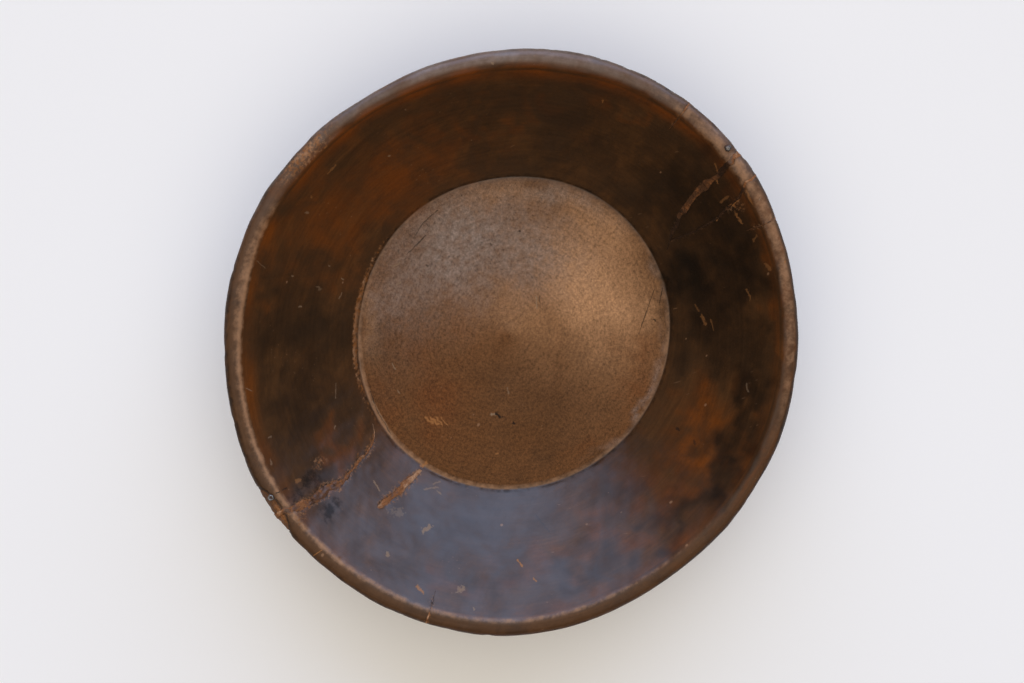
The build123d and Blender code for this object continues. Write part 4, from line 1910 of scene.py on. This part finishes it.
class FinishDesk(NodeDesk):
    """Makes one slot's material from the shared effects."""

    def __init__(self, slot: Slot, effects: Effects) -> None:
        """Starts the material.

        Args:
            slot: The slot that it is for.
            effects: The shared effects.
        """
        self.made = bpy.data.materials.new(slot.value)
        self.made.use_nodes = True
        super().__init__(self.made.node_tree)
        self.effects = effects
        self.place = self.add("ShaderNodeTexCoord", {}).outputs["Object"]

    def field(self, name: str) -> Socket:
        """A number that the mesh holds at each vertex."""
        return self.add("ShaderNodeAttribute", {}, attribute_name=name).outputs["Fac"]

    def effect(self, group: Tree, **values: object) -> Outputs:
        """Places a shared effect with its own values, and gives its outputs."""
        return self.add("ShaderNodeGroup", values, node_tree=group).outputs

    def flecks(self, **values: object) -> Socket:
        """The mask of scattered dashes."""
        return self.effect(self.effects.flecks, **values)["Mask"]

    def wear(self, noise: Socket, field: str, softness: float) -> Socket:
        """The mask of one field's wear, broken up by noise."""
        return self.effect(self.effects.wear, Noise=noise, Wear=self.field(field), Softness=softness)["Mask"]

    def close(self, bumps: Socket, strength: float, depth: float, sockets: dict) -> Material:
        """Feeds the shader and ends the material.

        Args:
            bumps: The height of the fine relief.
            strength: How strongly it shows.
            depth: How deep it is.
            sockets: What else the shader's inputs take, by name.

        Returns:
            The material.
        """
        shader = self.tree.nodes["Principled BSDF"]
        relief = self.add("ShaderNodeBump", {"Height": bumps, "Strength": strength, "Distance": depth})
        for name, value in {**sockets, "Normal": relief.outputs["Normal"]}.items():
            self.feed(shader.inputs[name], value)
        return self.made


@dataclass(frozen=True)
class AgedWood:
    """Dark oiled wood, handled, scratched and worn through along its edges, with some highlights, shade and
    reflection painted into its colour.
    """

    brown: Colour = (0.098, 0.0400, 0.0120)
    deep: Colour = (0.050, 0.0225, 0.0080)
    amber: Colour = (0.155, 0.040, 0.0045)
    # Also the colour of the painted shade on the right wall
    soot_and_shade: Colour = (0.0058, 0.0030, 0.0013)
    rim_brown: Colour = (0.090, 0.041, 0.0170)
    rim_dark: Colour = (0.056, 0.027, 0.0130)
    floor_brown: Colour = (0.126, 0.050, 0.0150)
    floor_tan: Colour = (0.450, 0.235, 0.110)
    floor_red: Colour = (0.140, 0.045, 0.0110)
    # Also the colour of the painted sheen on the floor and the sky's painted reflection on the rim's top
    haze_and_sheen: Colour = (0.270, 0.202, 0.164)
    # Also the colour of the painted highlights along the rim's crest and top
    rubbed_and_highlight: Colour = (0.335, 0.178, 0.091)
    bare: Colour = (0.220, 0.080, 0.021)
    orange: Colour = (0.330, 0.140, 0.045)
    pale: Colour = (0.260, 0.168, 0.100)
    # Also the colour of the painted shade on the rim's outer edge, in the floor's crease and in dents
    grime_and_shade: Colour = (0.009, 0.0065, 0.0045)
    specular: float = 0.10
    coat_roughness: float = 0.31
    bump_strength: float = 0.5
    bump_depth: float = 0.35 * MM

    def marks(self, desk: FinishDesk, layers: list[str]) -> dict[Tint, Socket]:
        """The masks of all marks of each tint.

        Args:
            desk: The material's desk.
            layers: The names of the layers of marks.

        Returns:
            One mask for each tint.
        """
        rough = desk.ramp(desk.noise(desk.place, 230.0, 4.0, 0.65), 0.28, 0.72, 0.45, 1.45)
        cloud = desk.add("ShaderNodeTexNoise", {"Vector": desk.place, "Scale": 340.0}).outputs["Color"]
        push = desk.vector("MULTIPLY", desk.vector("SUBTRACT", cloud, (0.5, 0.5, 0.5)), (3.0, 3.0, 3.0))
        masks: dict[Tint, Socket] = {}
        for name in layers:
            local = desk.add("ShaderNodeAttribute", {}, attribute_name=name).outputs
            pushed = desk.vector("ADD", local["Vector"], push)
            mask = desk.effect(desk.effects.mark, Local=pushed, Strength=local["Alpha"], Rough=rough)["Mask"]
            tint = Tint(name.split("_")[0])
            masks[tint] = desk.most(masks[tint], mask) if tint in masks else mask
        return masks

    def ground(self, desk: FinishDesk, mottle: Socket, streak: Socket) -> Socket:
        """The colour of the wall, the rim and the floor, before any wear.

        Args:
            desk: The material's desk.
            mottle: Broad noise.
            streak: The grain's streaks.

        Returns:
            The colour.
        """
        blotch = desk.ramp(mottle, 0.30, 0.70)
        wall = desk.mix(desk.times(streak, blotch), self.deep, self.brown)
        amber = desk.times(desk.field("amber"), desk.ramp(mottle, 0.25, 0.62, 0.35, 1.15))
        wall = desk.mix(amber, wall, self.amber)
        # Dark patches, with painted shade on the right wall
        soot_and_shade = desk.times(desk.field("soot_and_shade"), desk.ramp(mottle, 0.30, 0.75, 1.0, 0.75))
        wall = desk.mix(soot_and_shade, wall, self.soot_and_shade)
        rim = desk.mix(desk.ramp(mottle, 0.28, 0.6), self.rim_dark, self.rim_brown)
        rim = desk.mix(desk.times(amber, 0.6), rim, self.amber)
        wall = desk.mix(desk.field("rim"), wall, rim)
        floor = desk.mix(desk.field("tan"), self.floor_brown, self.floor_tan)
        floor = desk.mix(desk.times(desk.field("amber"), blotch), floor, self.floor_red)
        floor = desk.mix(desk.times(desk.field("soot_and_shade"), 0.8), floor, self.deep)
        return desk.mix(desk.field("floor"), wall, floor)

    def material(self, effects: Effects, layers: list[str]) -> Material:
        """Builds the finish.

        Args:
            effects: The shared effects.
            layers: The names of the layers of marks.

        Returns:
            The material.
        """
        desk = FinishDesk(Slot.AGED_WOOD, effects)
        place, floor = desk.place, desk.field("floor")
        slanted = desk.add("ShaderNodeVectorRotate", {"Vector": place, "Angle": -1.1}, rotation_type="Z_AXIS")
        grain = desk.effect(effects.grain, Place=place, Scale=55.0, Stretch=9.0)
        hatch = desk.effect(effects.grain, Place=slanted.outputs[0], Scale=380.0, Stretch=3.0)
        mottle = desk.noise(place, 26.0, 4.0, 0.62, 0.5)
        speckle = desk.noise(place, 420.0, 3.0, 0.65)
        patchy = desk.noise(place, 150.0, 4.0, 0.65)

        colour = self.ground(desk, mottle, grain["Streak"])
        # Grey bloom on the floor with a painted sheen, and the sky's painted reflection on the rim's top
        haze_and_sheen = desk.times(desk.field("haze_and_sheen"), desk.ramp(patchy, 0.28, 0.66, 0.5, 1.0))
        colour = desk.mix(haze_and_sheen, colour, self.haze_and_sheen)
        along = desk.times(grain["Fibre"], desk.between(floor, 1.0, 0.3))
        lines = desk.plus(along, desk.times(hatch["Fibre"], desk.between(floor, 1.0, 1.7)))
        fine = desk.plus(desk.times(lines, 0.24), desk.less(speckle, 0.74))
        fine = desk.times(fine, desk.between(floor, 0.35, 1.5))
        rings = desk.effect(effects.rings, Place=place, Stray=mottle, Scale=420.0)
        tone = desk.plus(desk.plus(fine, 1.0), rings["Stripe"])
        colour = desk.mix(1.0, colour, tone, "MULTIPLY")

        turn = (0.4, 0.3, 0.75)
        scratches = desk.flecks(Place=place, Turn=turn, Stretch=26.0, Scale=430.0, Size=0.22, Share=0.12)
        scratches = desk.times(scratches, desk.ramp(mottle, 0.42, 0.62))
        colour = desk.mix(desk.times(scratches, 0.28), colour, self.rubbed_and_highlight)
        turn = (0.2, 0.5, 0.1)
        specks = desk.flecks(Place=place, Turn=turn, Stretch=1.5, Scale=75.0, Size=0.085, Share=0.30)
        colour = desk.mix(desk.times(specks, 0.5), colour, self.rubbed_and_highlight)
        turn = (0.0, 0.0, 0.2)
        pores = desk.flecks(Place=place, Turn=turn, Stretch=2.2, Scale=560.0, Size=0.40, Share=0.16)
        pores = desk.times(pores, desk.between(floor, 0.15, 0.22))
        colour = desk.mix(pores, colour, self.deep)

        # Rubbed wood, with painted highlights along the rim's crest and top
        rubbed_and_highlight = desk.wear(patchy, "rubbed_and_highlight", 0.85)
        colour = desk.mix(desk.times(rubbed_and_highlight, 0.95), colour, self.rubbed_and_highlight)
        bare = desk.wear(speckle, "bare", 0.40)
        colour = desk.mix(bare, colour, desk.mix(desk.ramp(patchy, 0.35, 0.7), self.bare, self.rubbed_and_highlight))
        # Grime, with the painted shade on the rim's outer edge and in the floor's crease
        grime_and_shade = desk.wear(patchy, "grime_and_shade", 0.75)
        colour = desk.mix(desk.times(grime_and_shade, 0.85), colour, self.grime_and_shade)
        # Marks; the dark ones in the floor's dents are painted shade, and a pale one beside a dent is a
        # painted highlight
        marks = self.marks(desk, layers)
        for tint, tone in ((Tint.PALE, self.pale), (Tint.ORANGE, self.orange), (Tint.DARK, self.grime_and_shade)):
            colour = desk.mix(marks[tint], colour, tone)

        worn = desk.most(desk.most(rubbed_and_highlight, bare), desk.most(marks[Tint.PALE], marks[Tint.ORANGE]))
        rough = desk.plus(desk.ramp(mottle, 0.25, 0.75, 0.30, 0.42), desk.times(floor, 0.24))
        rough = desk.plus(rough, desk.times(worn, 0.18))
        rough = desk.plus(rough, desk.times(desk.field("rim"), 0.10), clamp=True)
        oiled = desk.times(desk.field("gloss"), desk.between(worn, 1.0, 0.25))
        oiled = desk.times(oiled, desk.between(grime_and_shade, 1.0, 0.3))
        oiled = desk.times(oiled, desk.ramp(mottle, 0.25, 0.75, 1.0, 0.55))
        bumps = desk.plus(desk.times(speckle, desk.between(floor, 0.12, 1.0)), desk.times(lines, 0.10))
        bumps = desk.less(bumps, desk.times(pores, 0.8))
        sockets = {
            "Base Color": colour,
            "Roughness": rough,
            "Specular IOR Level": self.specular,
            "Coat Weight": oiled,
            "Coat Roughness": self.coat_roughness,
        }
        return desk.close(bumps, self.bump_strength, self.bump_depth, sockets)


@dataclass(frozen=True)
class SplitFiller:
    """Crumbly putty of glue and wood dust."""

    dark: Colour = (0.080, 0.031, 0.0105)
    putty: Colour = (0.215, 0.082, 0.027)
    pale: Colour = (0.370, 0.200, 0.105)
    grime_and_shade: Colour = (0.012, 0.0066, 0.0034)
    specular: float = 0.2
    coat_roughness: float = 0.31
    bump_strength: float = 0.8
    bump_depth: float = 0.5 * MM

    def material(self, effects: Effects) -> Material:
        """Builds the finish from its shade and the grime along its edges.

        Args:
            effects: The shared effects.

        Returns:
            The material.
        """
        desk = FinishDesk(Slot.SPLIT_FILLER, effects)
        coarse = desk.noise(desk.place, 240.0, 5.0, 0.65)
        fine = desk.noise(desk.place, 800.0, 3.0, 0.6)
        shade = desk.plus(desk.field("shade"), desk.ramp(coarse, 0.25, 0.75, -0.20, 0.20), clamp=True)
        colour = desk.mix(desk.ramp(shade, 0.0, 0.55), self.dark, self.putty)
        colour = desk.mix(desk.ramp(shade, 0.55, 1.0), colour, self.pale)
        colour = desk.mix(1.0, colour, desk.ramp(fine, 0.25, 0.75, 0.7, 1.3), "MULTIPLY")
        crumbs = desk.flecks(Place=desk.place, Stretch=1.4, Scale=520.0, Size=0.42, Share=0.22)
        colour = desk.mix(desk.times(crumbs, 0.45), colour, self.dark)
        grime_and_shade = desk.wear(coarse, "grime_and_shade", 0.4)
        sockets = {
            "Base Color": desk.mix(desk.times(grime_and_shade, 0.8), colour, self.grime_and_shade),
            "Roughness": desk.ramp(coarse, 0.2, 0.8, 0.62, 0.9),
            "Specular IOR Level": self.specular,
            "Coat Weight": desk.times(desk.between(grime_and_shade, 1.0, 0.2), desk.ramp(shade, 0.0, 0.5, 0.9, 0.0)),
            "Coat Roughness": self.coat_roughness,
        }
        bumps = desk.less(desk.plus(coarse, desk.times(fine, 0.5)), crumbs)
        return desk.close(bumps, self.bump_strength, self.bump_depth, sockets)


@dataclass(frozen=True)
class PatchWood:
    """Bare orange-brown wood with dark stains."""

    brown: Colour = (0.085, 0.035, 0.0120)
    orange: Colour = (0.250, 0.092, 0.0220)
    stain: Colour = (0.022, 0.0125, 0.0070)
    grain_bearing: float = 66.0
    specular: float = 0.34
    bump_strength: float = 0.7
    bump_depth: float = 0.4 * MM

    def material(self, effects: Effects) -> Material:
        """Builds the finish from its shade and the grime along its edges.

        Args:
            effects: The shared effects.

        Returns:
            The material.
        """
        desk = FinishDesk(Slot.PATCH_WOOD, effects)
        way = (0.0, 0.0, np.radians(-self.grain_bearing))
        turned = desk.add("ShaderNodeMapping", {"Vector": desk.place, "Rotation": way}).outputs[0]
        grain = desk.effect(effects.grain, Place=turned, Scale=170.0, Stretch=7.0)
        fine = desk.noise(desk.place, 420.0, 4.0, 0.6)
        streaks = desk.between(grain["Streak"], 0.45, 1.25)
        shade = desk.math("MULTIPLY", desk.field("shade"), streaks, clamp=True)
        colour = desk.mix(shade, self.brown, self.orange)
        colour = desk.mix(1.0, colour, desk.ramp(fine, 0.25, 0.75, 0.68, 1.3), "MULTIPLY")
        stains = desk.flecks(Place=turned, Stretch=3.0, Scale=240.0, Size=0.45, Share=0.32)
        colour = desk.mix(desk.times(stains, 0.6), colour, self.stain)
        grime_and_shade = desk.wear(fine, "grime_and_shade", 0.4)
        sockets = {
            "Base Color": desk.mix(desk.times(grime_and_shade, 0.85), colour, self.stain),
            "Roughness": desk.ramp(fine, 0.2, 0.8, 0.5, 0.72),
            "Specular IOR Level": self.specular,
        }
        return desk.close(desk.plus(grain["Fibre"], fine), self.bump_strength, self.bump_depth, sockets)


@dataclass(frozen=True)
class ForgedIron:
    """Dark hand-made iron, rusty in its hollows and rubbed bright on top, with painted glints on the nails'
    heads.
    """

    dark: Colour = (0.060, 0.055, 0.052)
    rust: Colour = (0.070, 0.026, 0.010)
    # Rubbed iron, also the colour of the glints painted on the nails' heads
    bright: Colour = (0.230, 0.222, 0.212)
    bump_strength: float = 0.6
    bump_depth: float = 0.25 * MM

    def material(self, effects: Effects) -> Material:
        """Builds the finish from where the iron is rubbed bright.

        Args:
            effects: The shared effects.

        Returns:
            The material.
        """
        desk = FinishDesk(Slot.FORGED_IRON, effects)
        pitting = desk.noise(desk.place, 900.0, 4.0, 0.65)
        rusty = desk.ramp(desk.noise(desk.place, 380.0, 4.0, 0.6), 0.42, 0.66)
        rubbed_and_highlight = desk.wear(pitting, "bright", 0.4)
        sockets = {
            "Base Color": desk.mix(rubbed_and_highlight, desk.mix(rusty, self.dark, self.rust), self.bright),
            "Metallic": desk.between(rubbed_and_highlight, 0.35, 1.0),
            "Roughness": desk.between(rubbed_and_highlight, 0.62, 0.34),
        }
        return desk.close(pitting, self.bump_strength, self.bump_depth, sockets)


@dataclass(frozen=True)
class Studio:
    """A pale floor under soft light that comes mostly from one side, and the camera above."""

    form: BowlForm
    floor_half: float = 40.0
    floor_lines: int = 9
    floor_colour: Colour = (0.960, 0.945, 0.915)
    floor_roughness: float = 0.9
    # The way that is up in the picture, and the camera's lean towards it
    up_bearing: float = 33.0
    lean: float = 7.5
    distance: float = 1.5
    lens: float = 68.5
    sensor_width: float = 36.0
    sight: float = 200.0
    aim_up: float = 4.6 * MM
    aim_right: float = 0.8 * MM
    sky_bearing: float = 25.0
    sky: Colour = (1.96, 2.42, 3.52)
    sky_edge: Place = (0.52, 0.80)
    above: Colour = (1.24, 1.16, 1.05)
    above_edge: Place = (0.40, 0.95)
    fill: Colour = (0.07, 0.050, 0.032)

    def build_floor(self) -> None:
        """Lays the floor: a flat grid of two parameters, and not part of the object."""
        side = np.linspace(-self.floor_half, self.floor_half, self.floor_lines)
        x, y = np.meshgrid(side, side)
        points = np.stack([x, y, np.zeros_like(x)], axis=-1)
        mesh = bpy.data.meshes.new("pale_floor")
        mesh.from_pydata(points.reshape(-1, 3).tolist(), [], grid_quads(numbered(points)).tolist())
        finish = bpy.data.materials.new("pale_floor")
        finish.use_nodes = True
        shader = finish.node_tree.nodes["Principled BSDF"]
        shader.inputs["Base Color"].default_value = (*self.floor_colour, 1.0)
        shader.inputs["Roughness"].default_value = self.floor_roughness
        shader.inputs["Specular IOR Level"].default_value = 0.0
        mesh.materials.append(finish)
        floor = add_object("pale_floor", mesh)

    def light(self) -> None:
        """Lights the scene with a dim world, brighter overhead, and bright and cool on one side."""
        world = bpy.data.worlds.new("soft_light")
        world.use_nodes = True
        bpy.context.scene.world = world
        desk = NodeDesk(world.node_tree)
        facing = desk.add("ShaderNodeTexCoord", {}).outputs["Generated"]
        overhead = desk.ramp(desk.vector("DOT_PRODUCT", facing, tuple(UP)), *self.above_edge)
        side = desk.vector("DOT_PRODUCT", facing, tuple(level_way(self.sky_bearing)))
        colour = desk.mix(overhead, self.fill, self.above)
        colour = desk.mix(desk.ramp(side, *self.sky_edge), colour, self.sky)
        desk.feed(world.node_tree.nodes["Background"].inputs["Color"], colour)

    def aim_camera(self) -> None:
        """Sets the camera above the bowl, leaning towards the picture's top."""
        up, right = level_way(self.up_bearing), level_way(self.up_bearing - 90.0)
        lean = np.radians(self.lean)
        back = np.cos(lean) * UP + np.sin(lean) * up
        top = np.cos(lean) * up - np.sin(lean) * UP
        target = self.form.height * UP + self.aim_up * top + self.aim_right * right
        lens = bpy.data.cameras.new("camera")
        lens.lens = self.lens
        lens.sensor_width = self.sensor_width
        lens.clip_end = self.sight
        camera = add_object("camera", lens)
        turn = Matrix((right, top, back)).transposed().to_4x4()
        camera.matrix_world = Matrix.Translation(Vector(target + self.distance * back)) @ turn
        bpy.context.scene.camera = camera

    def build(self) -> None:
        """Sets up floor, light, camera and plain colours."""
        self.build_floor()
        self.light()
        self.aim_camera()
        bpy.context.scene.view_settings.view_transform = "Standard"


def fillings(splits: Splits, relief: WoodRelief) -> list[Filling]:
    """Lists the fillings of every split.

    Args:
        splits: The bowl's splits.
        relief: Its worn surface.

    Returns:
        The fillings, largest first.
    """
    left_tones = (
        (0.0, 0.50, 0.1), (0.38, 0.46, 0.1), (0.50, 0.18, 0.1), (0.80, 0.18, 0.1), (0.90, 0.24, 0.0),
        (0.945, 0.62, 0.0), (1.0, 0.40, 0.2),
    )
    right_tones = (
        (0.21, 0.0, 1.0), (0.30, 0.03, 0.85), (0.36, 0.08, 0.4), (0.43, 0.15, 0.05), (0.66, 0.10, 0.15),
        (0.74, 0.12, 0.3), (0.80, 0.04, 0.85), (0.86, 0.04, 0.85), (0.90, 0.46, 0.0), (1.0, 0.55, 0.0),
    )
    lower_tones = (
        (0.02, 0.85, 0.0), (0.12, 0.72, 0.0), (0.28, 0.50, 0.0), (0.38, 0.66, 0.0), (0.45, 0.55, 0.0),
    )
    seam_tones = (
        (0.20, 0.0, 1.0), (0.55, 0.0, 1.0), (0.66, 0.20, 0.6), (0.75, 0.15, 0.5), (0.86, 0.05, 0.5),
        (0.90, 0.60, 0.0),
    )
    rim_tones = ((0.70, 0.0, 0.2), (0.85, 0.05, 0.1), (0.89, 0.65, 0.0), (1.0, 0.75, 0.0))
    left, right, lower = (splits.gap_of(split) for split in (splits.left, splits.right, splits.lower))
    seam = splits.opening(splits.seam_edges, splits.seam.tip)
    found = [
        Filling(relief, left, 12, 0.12 * MM, 0.13 * MM, 201, "crack_fill_left", left_tones, 0.25),
        Filling(relief, right, 9, 0.12 * MM, 0.08 * MM, 211, "crack_fill_right", right_tones, 0.05),
        Filling(relief, lower, 9, 0.25 * MM, 0.16 * MM, 221, "crack_fill_lower", lower_tones, 0.10),
        Filling(relief, seam, 5, 0.12 * MM, 0.05 * MM, 231, "fragment_seam_fill", seam_tones, 0.0),
    ]
    for name, line in splits.rim_lines().items():
        gap, seed, node = splits.gap_of(line), line.seed + 100, f"rim_split_fill_{name}"
        found.append(Filling(relief, gap, 5, 0.12 * MM, 0.05 * MM, seed, node, rim_tones, 0.0))
    return found


def main() -> None:
    """Builds the bowl's pieces in order, dresses them and sets the scene."""
    logging.basicConfig(level=logging.INFO, format="%(name)s: %(message)s")
    form = BowlForm.from_frame()
    section = form.section()
    relief = WoodRelief(form, section)
    marks = MarkMap(form)
    patina = Patina(form, section, marks)
    splits = Splits(form, section)
    patch = RimPatch()
    effects = Effects()
    wood = AgedWood().material(effects, list(marks.layers()))
    filler = SplitFiller().material(effects)
    iron = ForgedIron().material(effects)

    seat(BowlBody(form, relief, patina, splits.body_gaps(), patch).build(), "bowl_body", Slot.AGED_WOOD, wood)
    fragment_gap = splits.opening(splits.fragment_edges, splits.seam.tip)
    fragment = Fragment(relief, fragment_gap, 22, 0.12 * MM, 0.03 * MM, 301, patina)
    seat(fragment.build(), "rim_fragment", Slot.AGED_WOOD, wood)
    seat(patch.build(form, section), "rim_patch", Slot.PATCH_WOOD, PatchWood().material(effects))
    for filling in fillings(splits, relief):
        seat(filling.build(), filling.node, Slot.SPLIT_FILLER, filler)
    seat(RimNails(form).build(), "rim_nails", Slot.FORGED_IRON, iron)
    seat(CrackStaple(form).build(), "crack_staple", Slot.FORGED_IRON, iron)
    Studio(form).build()


if __name__ == "__main__":
    main()
